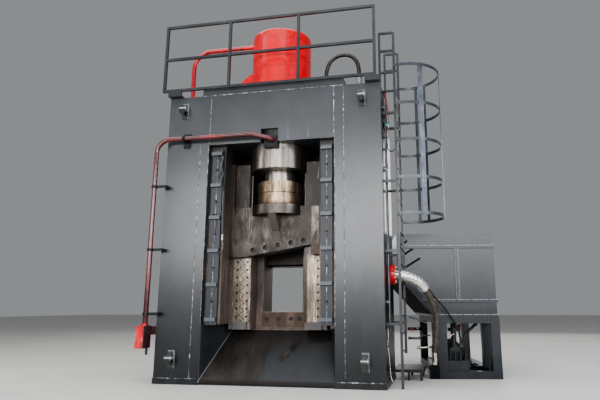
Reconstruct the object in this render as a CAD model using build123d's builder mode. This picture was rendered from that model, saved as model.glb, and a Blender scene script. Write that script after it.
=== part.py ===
from build123d import *
import os
from math import cos, pi, radians, sin, sqrt, tan

os.makedirs("parts", exist_ok=True)

# Scrap shear, gantry type, with a separate hydraulic power unit.
# Millimetres, X across the gantry, Y from front to rear, Z up.
# The origin is on the floor under the middle of the gantry.

# gantry
frame_width = 4200
frame_depth = 1560
column_top = 5405
opening_width = 2470
opening_top = 4390
foot_thickness = 100
foot_rim = 10
floor_plate = 40
floor_plate_setback = 60
crown_rise = 155
crown_overlap = 175
bed_height = 925
bed_depth = 660
sill_height = 1246
throat_width = 800
throat_height = 879
jamb_top = 3880
head_depth = 320
rear_plate = 50
blade_plane = 1000
feed_hole_x = 500
feed_hole_z = 1400
feed_hole_rise = 600
feed_hole_radius = 18
feed_hole_depth = 60

# running and fitting clearances
running_gap = 0.3
shaft_gap = 0.05
weld_gap = 0.3
blade_gap = 0.5

# guide housings and wear liners
jaw_width = 305
jaw_front = 140
channel_front = 460
web_width = 275
guide_bottom = 1030
post_clearance = 10
post_front = 640
liner_edge = 75
liner_thickness = 40
liner_bottom = 1065
liner_hole_pitch = 146
liner_hole_radius = 13
liner_hole_depth = 18
liner_hole_edge = 65
liner_hole_edge_outer = 90
liner_first_hole = 95
groove_width = 8
groove_depth = 3
groove_edge = 110
groove_column_pitch = 110
liner_rows = 19
stop_edge = 65
stop_width = 270
bar_edge = 55
bar_width = 210
bar_thickness = 60
bar_bottom = 1020
bar_top = 4310
rib_height = 65
rib_depth = 60
rib_first_height = 1120
rib_pitch = 620
rib_count = 6
bar_bolt_radius = 16
bar_bolt_head = 24
bolt_grip = 60

# chute
chute_lip_height = 70
cheek_width = 245
chute_top_drop = 20
chute_plate_thickness = 25
chute_rib_thickness = 30
chute_rib_spacing = 760
chute_rib_setback = 180
cheek_setback = 2

# knife slide
strip_width = 100
slide_low = 2267
slide_low_run = 240
slide_heel_width = 170
slide_incline_rise = 211
slide_heel_drop = 186
slide_arm_top = 4095
slide_arm_width = 290
slide_arm_setback = 80
slide_pocket_floor = 3220
core_clearance = 30
core_rear_gap = 15
strip_bottom_rise = 8
blade_thickness = 75
blade_height = 220
blade_bolt_spacing = 250
blade_bolt_count = 5
blade_bolt_offset = 49
blade_bolt_rise = 102
blade_bolt_radius = 36
blade_bolt_shank = 18
blade_bolt_hole = 46
blade_bolt_recess = 60
disc_radius = 520
disc_rear_flat = 60
disc_bottom = 3050
disc_thickness = 190
gusset_width = 150
gusset_height = 300
gusset_setback = 12
disc_chamfer = 8

# main cylinder and ram
cylinder_depth = 660
barrel_radius = 600
barrel_bore = 400
barrel_over_pipe = 80
barrel_cap = 180
barrel_edge = 55
boss_radius = 880
boss_neck = 660
boss_height = 215
boss_slope = 200
boss_inner = 300
boss_half_depth = 220
boss_overlap = 40
neck_height = 30
groove_line_depths = (155, 555)
gland_radius = 560
gland_bottom = 3905
gland_chamfer = 15
ram_radius = 300
piston_margin = 250
piston_height = 250
ring_radius = 425
ring_height = 450
ring_neck_radius = 250
ring_neck_bottom = 130
ring_neck_height = 120
ring_split = 4

# lower blade
low_blade_left = -420
low_blade_right = 490
low_blade_height = 286
low_blade_thickness = 80
low_blade_holes = (-320, -70, 170, 345)
low_blade_hole_radius = 38
low_blade_head = 30
low_blade_shank = 17
low_blade_bolt_rise = 150
low_blade_recess = 30
bolt_head_height = 20

# hold-down clamp behind the blades
clamp_depth = 1140
clamp_thickness = 362
clamp_width = 790
clamp_height = 300
clamp_bevel = 35
clamp_rod_radius = 60
clamp_bore = 110
clamp_barrel_radius = 140
clamp_barrel_bottom = 2700
clamp_flange_radius = 185
clamp_flange_height = 40
clamp_gland = 60
clamp_piston_height = 130
clamp_piston_bottom = 3650

# lifting lugs
lug_x = 1760
lug_heights = (430, 5110)
lug_pin_radius = 50
lug_pin_length = 105
lug_plate_width = 130
lug_plate_height = 310
lug_plate_thickness = 25
lug_keeper_width = 130
lug_keeper_height = 190

# pipes
pipe_radius = 46
return_pipe_stand_off = 150
return_pipe_height = 4505
return_pipe_port_height = 4400
return_pipe_port_x = 60
return_pipe_drop_x = -310
return_pipe_down_x = -2240
return_pipe_bend = 260
return_pipe_elbow = 95
valve_left = -2360
valve_width = 170
valve_depth = 270
valve_bottom = 620
valve_height = 390
valve_chamfer = 12
valve_neck_radius = 62
valve_neck_height = 40
valve_bracket_height = 160
valve_bracket_depth = 60
valve_stub_radius = 24
valve_stub_length = 120
flange_block_left = -120
flange_block_right = 150
flange_block_bottom = 4280
flange_block_top = 4500
flange_block_proud = 20
flange_bolt_pitch_x = 200
flange_bolt_pitch_z = 150
notch_left = -190
notch_height = 260
notch_depth = 150
clamp_heights = (1220, 2380, 3580)
pipe_clamp_height = 50
pipe_clamp_wall = 12
hanger_x = -1685
hanger_width = 144
hanger_height = 290
hanger_drop = 160
hanger_thickness = 20
clamp_arm_overlap = 100
top_pipe_height = 6700
top_pipe_down_x = -1970
top_pipe_bend = 380
top_pipe_entry = 10
pipe_foot_radius = 85
pipe_foot_height = 30
top_hose_radius = 40
top_fitting_radius = 52
top_hose_depth = 650
top_hose_points = ((935, 5760), (935, 6060), (1110, 6310), (1420, 6340), (1615, 6130), (1615, 5880))

# railing on the front edge
rail_tube = 50
rail_depth = -100
rail_posts = (-2200, -845, 553, 2018)
rail_heights = (5530, 6200, 6910)
rail_foot_length = 270
rail_foot_thickness = 30
rail_foot_reach = 240
rail_foot_x = 1965

# ladder and cage
ladder_x = 2350
ladder_near = 190
ladder_far = 1110
ladder_tube = 45
ladder_top = 6470
ladder_far_bottom = 500
rung_radius = 13
rung_first = 580
rung_pitch = 300
rung_count = 17
stand_off_heights = (1050, 2300, 3560, 4850)
cage_x = 2540
cage_depth = 680
cage_radius = 620
cage_bar = 55
cage_bar_thickness = 8
hoop_heights = (2950, 3600, 4300, 5000, 5750)
strap_angles = (-62, -5, 59, 76)
strap_widths = (95, 60, 60, 60)
landing_x = 2060
landing_heights = (5660, 6100, 6470)
landing_tube = 40

# big return hose
flange_depth = 660
flange_height = 1910
flange_radius = 175
flange_length = 130
flange_bolt_circle = 140
flange_bolt_count = 8
flange_bolt_start = 22.5
collar_hose_radius = 95
collar_hose_length = 60
hose_radius = 59.5
sleeve_radius = 100
sleeve_share = 0.31
fitting_radius = 64
fitting_hex = 68
fitting_hex_height = 50
main_hose_route = (
    (2290, -120, 1910),
    (2550, -60, 1862),
    (2740, 95, 1674),
    (2868, 340, 1422),
    (2925, 600, 1095),
    (2883, 720, 770),
    (2853, 876, 511),
)
pilot_hose_route = (
    (2230, 20, 1910),
    (2330, 20, 1910),
    (2550, 75, 1895),
    (2790, 262, 1690),
    (2890, 425, 1520),
    (3030, 630, 1375),
    (3220, 805, 1105),
    (3345, 905, 850),
    (3335.2, 1026.7, 660),
    (3335.2, 1026.7, 499),
)

# low step beside the column
step_right = 2660
step_depth = 1250
step_length = 1000
step_height = 200
step_thickness = 55
step_leg = 40
step_leg_inset = 60
step_leg_x = (2372, 2600)

# power unit: turned a little about the vertical, its front right foot is the origin of its plane
unit_turn = 9.4
unit_corner_x = 4098
unit_corner_depth = 1791
unit_width = 1180
unit_depth = 3120
unit_leg = 170
unit_base_height = 139
unit_beam_bottom = 1020
unit_beam_height = 121
unit_mid_leg_depth = 760
tank_width = 1900
tank_inset = 30
tank_depth = 3080
tank_front = 10
tank_height = 1618
tank_cut_width = 1250
tank_cut_height = 765
tank_band = 48
tank_band_rim = 12
tank_ridge = 25
tank_ridge_width = 60
tank_ridge_heights = (1446, 2497)
tank_rib_x = -762
tank_handles = ((-1800, 2564, 200), (-1730, 2385, 260), (-1620, 2185, 330))
tank_handle_width = 30
tank_handle_depth = 45
tank_handle_slope = 31
hose_block_x = -1270
hose_block_width = 180
hose_block_depth = 180
hose_block_height = 256
motor_x = -800
motor_axis_height = 300
motor_radius = 235
motor_length = 900
motor_front = 960
motor_foot_width = 420
motor_foot_thickness = 30
motor_beam_places = (1040, 1660)
motor_beam_width = 120
bell_radius = 180
bell_length = 260
bell_bore = 95
coupling_radius = 70
coupling_margin = 20
motor_shaft_radius = 30
shaft_entry = 80
pump_radius = 130
pump_length = 340
suction_radius = 55
suction_flange_radius = 95
suction_flange_height = 26
valve_body_radius = 110
valve_body_height = 60
valve_body_level = 860
lever_stem_radius = 12
lever_stem_entry = 40
lever_offset = 25
lever_length = 230
lever_width = 36
lever_thickness = 12
manifold_x = -800
manifold_width = 400
manifold_depth = 160
manifold_front = 60
manifold_height = 190
cartridge_radius = 34
cartridge_height = 170
cartridge_pitch = 100
pilot_hose_radius = 14

# service pipes on the right side face
service_pipe_radius = 17
service_pipe_gap = 25
service_pipe_depths = (330, 390, 450)
service_pipe_bottom = 900
service_pipe_top = 5200
service_clip_heights = (1400, 2600, 3800, 5000)
service_clip_height = 40

front_y = -frame_depth / 2
rear_y = frame_depth / 2
outer_x = frame_width / 2
inner_x = opening_width / 2
crown_top = column_top + crown_rise
barrel_top = top_pipe_height + barrel_over_pipe
piston_bottom = barrel_top - barrel_cap - piston_margin - piston_height
jaw_inner = inner_x - jaw_width
channel_wall = inner_x - web_width
post_inner = disc_radius + post_clearance
liner_width = channel_wall - liner_edge - post_inner
liner_hole_columns = (liner_hole_edge, liner_width - liner_hole_edge_outer)
groove_columns = (groove_edge, groove_edge + groove_column_pitch)
stop_inner = post_inner + stop_edge
bar_inner = inner_x - bar_edge - bar_width
chute_top_half = inner_x - cheek_width
slide_half = channel_wall - strip_width
slide_incline_end = slide_half - slide_heel_width
slide_pocket_half = slide_half - slide_arm_width
core_half = post_inner - core_clearance
throat_half = throat_width / 2
throat_top = sill_height + throat_height
cylinder_y = front_y + cylinder_depth
blade_y = front_y + blade_plane
bed_y = rear_y - bed_depth
channel_y = front_y + channel_front
post_y = front_y + post_front
head_y = rear_y - head_depth
clamp_y = front_y + clamp_depth
ring_bottom = disc_bottom + disc_thickness
neck_bottom = ring_bottom + ring_neck_bottom
boss_top = crown_top + boss_height + boss_slope
jaw_y = front_y + jaw_front
bar_y = jaw_y - bar_thickness
bar_middle = bar_inner + bar_width / 2
rib_levels = [rib_first_height + index * rib_pitch for index in range(rib_count)]
bolt_levels = [level - rib_pitch / 2 for level in rib_levels[1:]]
liner_y = post_y - liner_thickness
chute_lip_half = inner_x - weld_gap
chute_top_height = bed_height - chute_top_drop
chute_slope = (chute_top_height - chute_lip_height) / (bed_y - front_y)
chute_drop = chute_plate_thickness * sqrt(1 + chute_slope**2)
chute_rib_front = front_y + chute_rib_setback
seat_left = low_blade_left - weld_gap
seat_right = low_blade_right + weld_gap
seat_rear = blade_y + low_blade_thickness
seat_bottom = sill_height - low_blade_height
low_bolt_hole = low_blade_shank + running_gap
low_blade_bolt_z = seat_bottom + low_blade_bolt_rise
slide_front = channel_y + running_gap
slide_rear = liner_y - running_gap
core_y = blade_y - core_rear_gap
upper_blade_y = blade_y - blade_gap - blade_thickness
incline_start = slide_low_run - slide_half
incline_slope = slide_incline_rise / (slide_incline_end - incline_start)
gusset_y = cylinder_y - disc_radius + gusset_setback
half_count = (blade_bolt_count - 1) / 2
upper_bolt_x = [
    blade_bolt_offset + (index - half_count) * blade_bolt_spacing for index in range(blade_bolt_count)
]
clamp_axis_y = clamp_y + clamp_thickness / 2
flange_block_y = front_y - flange_block_proud
return_pipe_y = front_y - return_pipe_stand_off
clamp_arm_end = clamp_arm_overlap - outer_x
clamp_arm_y = return_pipe_y - pipe_clamp_wall / 2
valve_top = valve_bottom + valve_height
valve_y = front_y - valve_depth
top_hose_y = front_y + top_hose_depth
top_hose_route = [(x, top_hose_y, z) for x, z in top_hose_points]
rail_y = front_y + rail_depth
ladder_near_y = front_y + ladder_near
ladder_far_y = front_y + ladder_far
cage_y = front_y + cage_depth
flange_y = front_y + flange_depth
hose_foot = Vector(*main_hose_route[-1])
step_y_from = front_y + step_depth
step_y_to = step_y_from + step_length
unit_origin = (unit_corner_x, front_y + unit_corner_depth, 0)
unit_side = (cos(radians(unit_turn)), sin(radians(unit_turn)), 0)
unit_plane = Plane(origin=unit_origin, x_dir=unit_side, z_dir=(0, 0, 1))
tank_bottom = unit_beam_bottom + unit_beam_height
tank_left = -tank_inset - tank_width
tank_cut_slope = tank_cut_height / (tank_width + tank_inset - tank_cut_width)
manifold_top = unit_base_height + manifold_height
lever_z = valve_body_level + valve_body_height / 2
motor_z = unit_base_height + motor_axis_height
pump_port_top = motor_z + pump_radius


def fill(x_from, x_to, y_from, y_to, z_from, z_to, mode=Mode.ADD):
    """A block between six stated planes."""
    middle = ((x_from + x_to) / 2, (y_from + y_to) / 2, (z_from + z_to) / 2)
    with Locations(middle):
        Box(abs(x_to - x_from), abs(y_to - y_from), abs(z_to - z_from), mode=mode)


def upright(x, y, z_from, z_to, radius, mode=Mode.ADD):
    """A vertical round bar or hole."""
    with Locations((x, y, (z_from + z_to) / 2)):
        Cylinder(radius, z_to - z_from, mode=mode)


def along_y(x, z, y_from, y_to, radius, mode=Mode.ADD):
    """A round bar or hole that runs from front to rear."""
    with Locations(Location((x, (y_from + y_to) / 2, z), (90, 0, 0))):
        Cylinder(radius, y_to - y_from, mode=mode)


def along_x(y, z, x_from, x_to, radius, mode=Mode.ADD):
    """A round bar or hole that runs from left to right."""
    with Locations(Location(((x_from + x_to) / 2, y, z), (0, 90, 0))):
        Cylinder(radius, x_to - x_from, mode=mode)


def face_at(y):
    """An upright plane that looks to the front, with X to the right and Z up."""
    return Plane(origin=(0, y, 0), x_dir=(1, 0, 0), z_dir=(0, -1, 0))


def unit_face_at(y):
    """The same kind of plane on the power unit."""
    origin = unit_plane.from_local_coords((0, y, 0))
    return Plane(origin=origin, x_dir=unit_plane.x_dir, z_dir=-unit_plane.y_dir)


def incline_z(x):
    """Height of the inclined lower edge of the slide."""
    return slide_low + (x - incline_start) * incline_slope


def chute_under(y):
    """Height of the chute plate's underside."""
    return chute_lip_height - chute_drop + (y - front_y) * chute_slope


def write(builder, name):
    """Label a finished piece and write its file."""
    builder.part.label = name
    export_step(builder.part, f"parts/{name}.step")


def bend_radii(points):
    """The largest arc that each corner of a hose route allows."""
    radii = []
    for before, corner, after in zip(points, points[1:], points[2:]):
        inward = Vector(*corner) - Vector(*before)
        outward = Vector(*after) - Vector(*corner)
        half_turn = radians(inward.get_angle(outward)) / 2
        radii.append(0.45 * min(inward.length, outward.length) / tan(half_turn))
    return radii


def rounded_path(points, radii):
    """Straight runs joined by tangent arcs."""
    with BuildLine() as path:
        FilletPolyline(*points, radius=radii)
    return path.wire()


def end_plane(path):
    """The plane across the far end of a route, facing onward."""
    return Plane(origin=path @ 1, z_dir=path % 1)


def start_plane(path):
    """The plane across the near end of a route, facing along it."""
    return Plane(origin=path @ 0, z_dir=path % 0)


def report_hose(name, builder, path, radius, radii):
    """Print a hose's length and bends, and its volume beside section times length."""
    swept = pi * radius**2 * path.length
    bends = ", ".join(f"{bend:.0f}" for bend in radii)
    print(f"{name}: length {path.length:.0f}, bends {bends}, volume {builder.part.volume / swept:.4f}")


# Foot plates of both columns and the floor plate between them.
with BuildPart() as foot_plates:
    for side in (-1, 1):
        fill(
            side * inner_x, side * (outer_x + foot_rim),
            front_y - foot_rim, rear_y + foot_rim,
            0, foot_thickness,
        )
    floor_half = inner_x - weld_gap
    fill(-floor_half, floor_half, front_y + floor_plate_setback, rear_y, 0, floor_plate)
write(foot_plates, "foot_plates")

for name, side in (("left_column", -1), ("right_column", 1)):
    with BuildPart() as column:
        fill(side * inner_x, side * outer_x, front_y, rear_y, foot_thickness, column_top)
    write(column, name)

# Top beam with its raised crown, the cylinder bore and the notch for the return pipe.
with BuildPart() as top_beam:
    fill(-inner_x, inner_x, front_y, rear_y, opening_top, column_top)
    crown_half = inner_x + crown_overlap
    fill(-crown_half, crown_half, front_y, rear_y, column_top, crown_top)
    upright(0, cylinder_y, opening_top, crown_top, barrel_radius, Mode.SUBTRACT)
    fill(
        notch_left, flange_block_right + weld_gap,
        front_y, front_y + notch_depth,
        opening_top, opening_top + notch_height,
        Mode.SUBTRACT,
    )
write(top_beam, "top_beam")

# Bottom beam, and the sill on it with the seat and tapped holes of the lower blade.
with BuildPart() as lower_beam:
    fill(-floor_half, floor_half, bed_y, rear_y, floor_plate, bed_height)
    fill(-floor_half, floor_half, blade_y, rear_y, bed_height + weld_gap, sill_height)
    fill(seat_left, seat_right, blade_y, seat_rear, seat_bottom, sill_height, Mode.SUBTRACT)
    for hole_x in low_blade_holes:
        along_y(hole_x, low_blade_bolt_z, seat_rear, seat_rear + bolt_grip, low_bolt_hole, Mode.SUBTRACT)
write(lower_beam, "lower_beam")

# Rear wall: jambs beside the throat, the plate over it and the head block above the clamp.
with BuildPart() as window_wall:
    for side in (-1, 1):
        fill(side * throat_half, side * floor_half, blade_y, rear_y, sill_height, jamb_top)
        for hole_z in (feed_hole_z, feed_hole_z + feed_hole_rise):
            along_y(
                side * feed_hole_x, hole_z,
                rear_y - feed_hole_depth, rear_y,
                feed_hole_radius, Mode.SUBTRACT,
            )
    plate_half = throat_half - weld_gap
    fill(-plate_half, plate_half, rear_y - rear_plate, rear_y, throat_top, jamb_top)
    fill(-floor_half, floor_half, head_y, rear_y, jamb_top + weld_gap, opening_top)
write(window_wall, "window_wall")

# Guide housings: front jaw, side web and the post behind the slide with the liner's stop block.
for name, side in (("left_guide_housing", -1), ("right_guide_housing", 1)):
    with BuildPart() as guide_housing:
        fill(
            side * jaw_inner, side * floor_half,
            jaw_y, channel_y,
            guide_bottom, opening_top,
        )
        fill(
            side * channel_wall, side * floor_half,
            channel_y + weld_gap, blade_y - weld_gap,
            guide_bottom, opening_top,
        )
        fill(
            side * post_inner, side * (channel_wall - weld_gap),
            post_y, blade_y - weld_gap,
            bed_height, jamb_top,
        )
        fill(
            side * stop_inner, side * (stop_inner + stop_width),
            liner_y, post_y - weld_gap,
            bed_height, liner_bottom - weld_gap,
        )
        for level in bolt_levels:
            along_y(
                side * bar_middle, level,
                jaw_y, jaw_y + bolt_grip,
                bar_bolt_radius + running_gap, Mode.SUBTRACT,
            )
    write(guide_housing, name)

# Guide bars on the jaws, each with its cross ribs.
for name, side in (("left_guide_bar", -1), ("right_guide_bar", 1)):
    bar_sides = (side * bar_inner, side * (bar_inner + bar_width))
    with BuildPart() as guide_bar:
        fill(*bar_sides, bar_y, jaw_y, bar_bottom, bar_top)
        for level in rib_levels:
            fill(*bar_sides, bar_y - rib_depth, bar_y, level - rib_height / 2, level + rib_height / 2)
        for level in bolt_levels:
            along_y(
                side * bar_middle, level,
                bar_y, jaw_y,
                bar_bolt_radius + running_gap, Mode.SUBTRACT,
            )
    write(guide_bar, name)

with BuildPart() as guide_bar_bolts:
    for side in (-1, 1):
        for level in bolt_levels:
            along_y(side * bar_middle, level, bar_y, jaw_y + bolt_grip - weld_gap, bar_bolt_radius)
            with BuildSketch(face_at(bar_y)):
                with Locations((side * bar_middle, level)):
                    RegularPolygon(bar_bolt_head, 6)
            extrude(amount=bolt_head_height)
write(guide_bar_bolts, "guide_bar_bolts")

# Wear liners behind the slide, with countersunk screw seats and a zigzag grease groove.
for name, side in (("left_liner", -1), ("right_liner", 1)):
    with BuildPart() as liner:
        fill(
            side * post_inner, side * (post_inner + liner_width),
            liner_y, post_y,
            liner_bottom, jamb_top,
        )
        with BuildSketch(face_at(liner_y)):
            for column_x in liner_hole_columns:
                for row in range(liner_rows):
                    hole_z = liner_bottom + liner_first_hole + row * liner_hole_pitch
                    with Locations((side * (post_inner + column_x), hole_z)):
                        Circle(liner_hole_radius)
        extrude(amount=-liner_hole_depth, mode=Mode.SUBTRACT)
        with BuildSketch(face_at(liner_y)):
            with BuildLine():
                Polyline(
                    *[
                        (
                            side * (post_inner + groove_columns[step % 2]),
                            liner_bottom + liner_first_hole + (step - 0.5) * liner_hole_pitch / 2,
                        )
                        for step in range(2 * liner_rows)
                    ]
                )
            trace(line_width=groove_width)
        extrude(amount=-groove_depth, mode=Mode.SUBTRACT)
    write(liner, name)

# Discharge chute: a sloping plate, narrower at its top, on three upright ribs.
with BuildPart() as chute_plate:
    with BuildSketch(Plane.XY):
        Polygon(
            (-chute_lip_half, front_y),
            (chute_lip_half, front_y),
            (chute_top_half - weld_gap, bed_y - weld_gap),
            (-chute_top_half + weld_gap, bed_y - weld_gap),
            align=None,
        )
    extrude(amount=bed_height)
    with BuildSketch(Plane.YZ.offset(-chute_lip_half)):
        Polygon(
            (front_y, chute_lip_height),
            (front_y, chute_lip_height - chute_drop),
            (bed_y, chute_top_height - chute_drop),
            (bed_y, chute_top_height),
            align=None,
        )
    extrude(amount=2 * chute_lip_half, mode=Mode.INTERSECT)
    for rib_x in (-chute_rib_spacing, 0, chute_rib_spacing):
        with BuildSketch(Plane.YZ.offset(rib_x - chute_rib_thickness / 2)):
            Polygon(
                (chute_rib_front, floor_plate),
                (bed_y - weld_gap, floor_plate),
                (bed_y - weld_gap, chute_under(bed_y - weld_gap)),
                (chute_rib_front, chute_under(chute_rib_front)),
                align=None,
            )
        extrude(amount=chute_rib_thickness)
write(chute_plate, "chute_plate")

# Wedge-shaped cheeks beside the chute, under the guide housings.
with BuildPart() as chute_cheeks:
    for side in (-1, 1):
        with BuildSketch(Plane.XY.offset(floor_plate)):
            Polygon(
                (side * chute_lip_half, front_y + cheek_setback),
                (side * chute_lip_half, bed_y - weld_gap),
                (side * chute_top_half, bed_y - weld_gap),
                align=None,
            )
        extrude(amount=guide_bottom - weld_gap - floor_plate)
write(chute_cheeks, "chute_cheeks")

with BuildPart() as lower_blade:
    fill(low_blade_left, low_blade_right, blade_y, seat_rear, seat_bottom, sill_height)
    for hole_x in low_blade_holes:
        along_y(hole_x, low_blade_bolt_z, blade_y, seat_rear, low_bolt_hole, Mode.SUBTRACT)
        along_y(
            hole_x, low_blade_bolt_z,
            blade_y, blade_y + low_blade_recess,
            low_blade_hole_radius, Mode.SUBTRACT,
        )
write(lower_blade, "lower_blade")

with BuildPart() as lower_blade_bolts:
    head_back = blade_y + low_blade_recess
    for hole_x in low_blade_holes:
        along_y(hole_x, low_blade_bolt_z, head_back - bolt_head_height, head_back, low_blade_head)
        along_y(hole_x, low_blade_bolt_z, head_back, seat_rear + bolt_grip - weld_gap, low_blade_shank)
write(lower_blade_bolts, "lower_blade_bolts")

# Port boss of the main cylinder: a sector of a sloping collar, on the barrel's left side.
with BuildPart() as port_boss:
    with BuildSketch(face_at(cylinder_y)):
        Polygon(
            (barrel_radius - boss_overlap, crown_top),
            (boss_radius, crown_top),
            (boss_radius, crown_top + boss_height),
            (boss_neck, boss_top),
            (barrel_radius - boss_overlap, boss_top + neck_height),
            align=None,
        )
    revolve(axis=Axis((0, cylinder_y, 0), (0, 0, 1)))
    fill(
        -boss_radius, -boss_inner,
        cylinder_y - boss_half_depth, cylinder_y + boss_half_depth,
        crown_top, boss_top + neck_height,
        Mode.INTERSECT,
    )

# Main cylinder: a forged barrel that passes through the top beam, with the port boss on it.
with BuildPart() as cylinder_barrel:
    with BuildSketch(face_at(cylinder_y)):
        Polygon(
            (0, barrel_top),
            (barrel_radius, barrel_top),
            (barrel_radius, opening_top),
            (barrel_bore, opening_top),
            (barrel_bore, barrel_top - barrel_cap),
            (0, barrel_top - barrel_cap),
            align=None,
        )
    revolve(axis=Axis((0, cylinder_y, 0), (0, 0, 1)))
    top_rim = cylinder_barrel.edges().filter_by(GeomType.CIRCLE).group_by(Axis.Z)[-1]
    fillet(top_rim, barrel_edge)
    for depth in groove_line_depths:
        with BuildSketch(Plane.XY.offset(barrel_top - depth)):
            with Locations((0, cylinder_y)):
                Circle(barrel_radius + groove_width)
                Circle(barrel_radius - groove_depth, mode=Mode.SUBTRACT)
        extrude(amount=groove_width, mode=Mode.SUBTRACT)
    add(port_boss.part)
write(cylinder_barrel, "cylinder_barrel")

with BuildPart() as gland_ring:
    upright(0, cylinder_y, gland_bottom, opening_top, gland_radius)
    upright(0, cylinder_y, gland_bottom, opening_top, ram_radius + shaft_gap, Mode.SUBTRACT)
    chamfer(gland_ring.edges().group_by(Axis.Z)[0], gland_chamfer)
write(gland_ring, "gland_ring")

# Ram: rod and piston in one forging, with a neck near its foot for the split ring.
with BuildPart() as ram:
    with BuildSketch(face_at(cylinder_y)):
        Polygon(
            (0, ring_bottom),
            (ram_radius, ring_bottom),
            (ram_radius, neck_bottom),
            (ring_neck_radius, neck_bottom),
            (ring_neck_radius, neck_bottom + ring_neck_height),
            (ram_radius, neck_bottom + ring_neck_height),
            (ram_radius, piston_bottom),
            (barrel_bore - shaft_gap, piston_bottom),
            (barrel_bore - shaft_gap, piston_bottom + piston_height),
            (0, piston_bottom + piston_height),
            align=None,
        )
    revolve(axis=Axis((0, cylinder_y, 0), (0, 0, 1)))
write(ram, "ram")

# Bronze ring in two halves that grips the ram's neck and is bolted down to the disc.
with BuildPart() as split_ring:
    with BuildSketch(face_at(cylinder_y)):
        Polygon(
            (ram_radius + weld_gap, ring_bottom),
            (ring_radius, ring_bottom),
            (ring_radius, ring_bottom + ring_height),
            (ram_radius + weld_gap, ring_bottom + ring_height),
            (ram_radius + weld_gap, neck_bottom + ring_neck_height - weld_gap),
            (ring_neck_radius + weld_gap, neck_bottom + ring_neck_height - weld_gap),
            (ring_neck_radius + weld_gap, neck_bottom + weld_gap),
            (ram_radius + weld_gap, neck_bottom + weld_gap),
            align=None,
        )
    revolve(axis=Axis((0, cylinder_y, 0), (0, 0, 1)))
    with BuildSketch(Plane.XY.offset(ring_bottom + ring_height / 2 - groove_width / 2)):
        with Locations((0, cylinder_y)):
            Circle(ring_radius + groove_width)
            Circle(ring_radius - groove_depth, mode=Mode.SUBTRACT)
    extrude(amount=groove_width, mode=Mode.SUBTRACT)
    fill(
        -ring_radius, ring_radius,
        cylinder_y - ring_split / 2, cylinder_y + ring_split / 2,
        ring_bottom, ring_bottom + ring_height,
        Mode.SUBTRACT,
    )
write(split_ring, "split_ring")

# Knife slide: a guided front plate with two arms, an inclined lower edge and a deep core behind it.
with BuildPart() as slide_body:
    with BuildSketch(face_at(slide_front)):
        Polygon(
            (-slide_half, slide_low),
            (incline_start, slide_low),
            (slide_incline_end, incline_z(slide_incline_end)),
            (slide_incline_end, incline_z(slide_incline_end) - slide_heel_drop),
            (slide_half, incline_z(slide_incline_end) - slide_heel_drop),
            (slide_half, slide_arm_top),
            (slide_pocket_half, slide_arm_top),
            (slide_pocket_half, slide_pocket_floor),
            (-slide_pocket_half, slide_pocket_floor),
            (-slide_pocket_half, slide_arm_top),
            (-slide_half, slide_arm_top),
            align=None,
        )
    extrude(amount=slide_front - slide_rear)
    fill(
        -slide_half, slide_half,
        slide_front, slide_front + slide_arm_setback,
        slide_pocket_floor, slide_arm_top,
        Mode.SUBTRACT,
    )
    with BuildSketch(face_at(slide_rear)):
        Polygon(
            (-core_half, incline_z(-core_half)),
            (core_half, incline_z(core_half)),
            (core_half, disc_bottom),
            (-core_half, disc_bottom),
            align=None,
        )
    extrude(amount=slide_rear - core_y)
    with BuildSketch(face_at(upper_blade_y)):
        Polygon(
            (-core_half, incline_z(-core_half)),
            (core_half, incline_z(core_half)),
            (core_half, incline_z(core_half) + blade_height),
            (-core_half, incline_z(-core_half) + blade_height),
            align=None,
        )
    extrude(amount=upper_blade_y - core_y, mode=Mode.SUBTRACT)
    upright(0, cylinder_y, disc_bottom, slide_arm_top, disc_radius + weld_gap, Mode.SUBTRACT)
    with BuildSketch(Plane.YZ.offset(-gusset_width / 2)):
        Polygon(
            (slide_front, disc_bottom),
            (gusset_y, disc_bottom),
            (slide_front, disc_bottom - gusset_height),
            align=None,
        )
    extrude(amount=gusset_width)
    for bolt_x in upper_bolt_x:
        bolt_z = incline_z(bolt_x) + blade_bolt_rise
        along_y(
            bolt_x, bolt_z,
            slide_front, slide_front + blade_bolt_recess,
            blade_bolt_hole, Mode.SUBTRACT,
        )
        along_y(
            bolt_x, bolt_z,
            slide_front, slide_front + blade_bolt_recess + bolt_grip,
            blade_bolt_shank + running_gap, Mode.SUBTRACT,
        )
write(slide_body, "slide_body")

with BuildPart() as upper_blade_bolts:
    for bolt_x in upper_bolt_x:
        bolt_z = incline_z(bolt_x) + blade_bolt_rise
        head_back = slide_front + blade_bolt_recess
        along_y(bolt_x, bolt_z, head_back - bolt_head_height, head_back, blade_bolt_radius)
        along_y(bolt_x, bolt_z, head_back, head_back + bolt_grip - weld_gap, blade_bolt_shank)
write(upper_blade_bolts, "upper_blade_bolts")

with BuildPart() as upper_blade:
    with BuildSketch(face_at(upper_blade_y)):
        Polygon(
            (-core_half, incline_z(-core_half)),
            (core_half, incline_z(core_half)),
            (core_half, incline_z(core_half) + blade_height),
            (-core_half, incline_z(-core_half) + blade_height),
            align=None,
        )
    extrude(amount=-blade_thickness)
write(upper_blade, "upper_blade")

with BuildPart() as thrust_disc:
    upright(0, cylinder_y, disc_bottom, ring_bottom, disc_radius)
    fill(
        -disc_radius, disc_radius,
        cylinder_y + disc_radius - disc_rear_flat, cylinder_y + disc_radius,
        disc_bottom, ring_bottom,
        Mode.SUBTRACT,
    )
    chamfer(thrust_disc.edges().group_by(Axis.Z)[-1], disc_chamfer)
write(thrust_disc, "thrust_disc")

with BuildPart() as slide_strips:
    for side in (-1, 1):
        fill(
            side * slide_half, side * (channel_wall - running_gap),
            slide_front, slide_rear,
            slide_low + strip_bottom_rise, slide_arm_top,
        )
write(slide_strips, "slide_strips")

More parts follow.
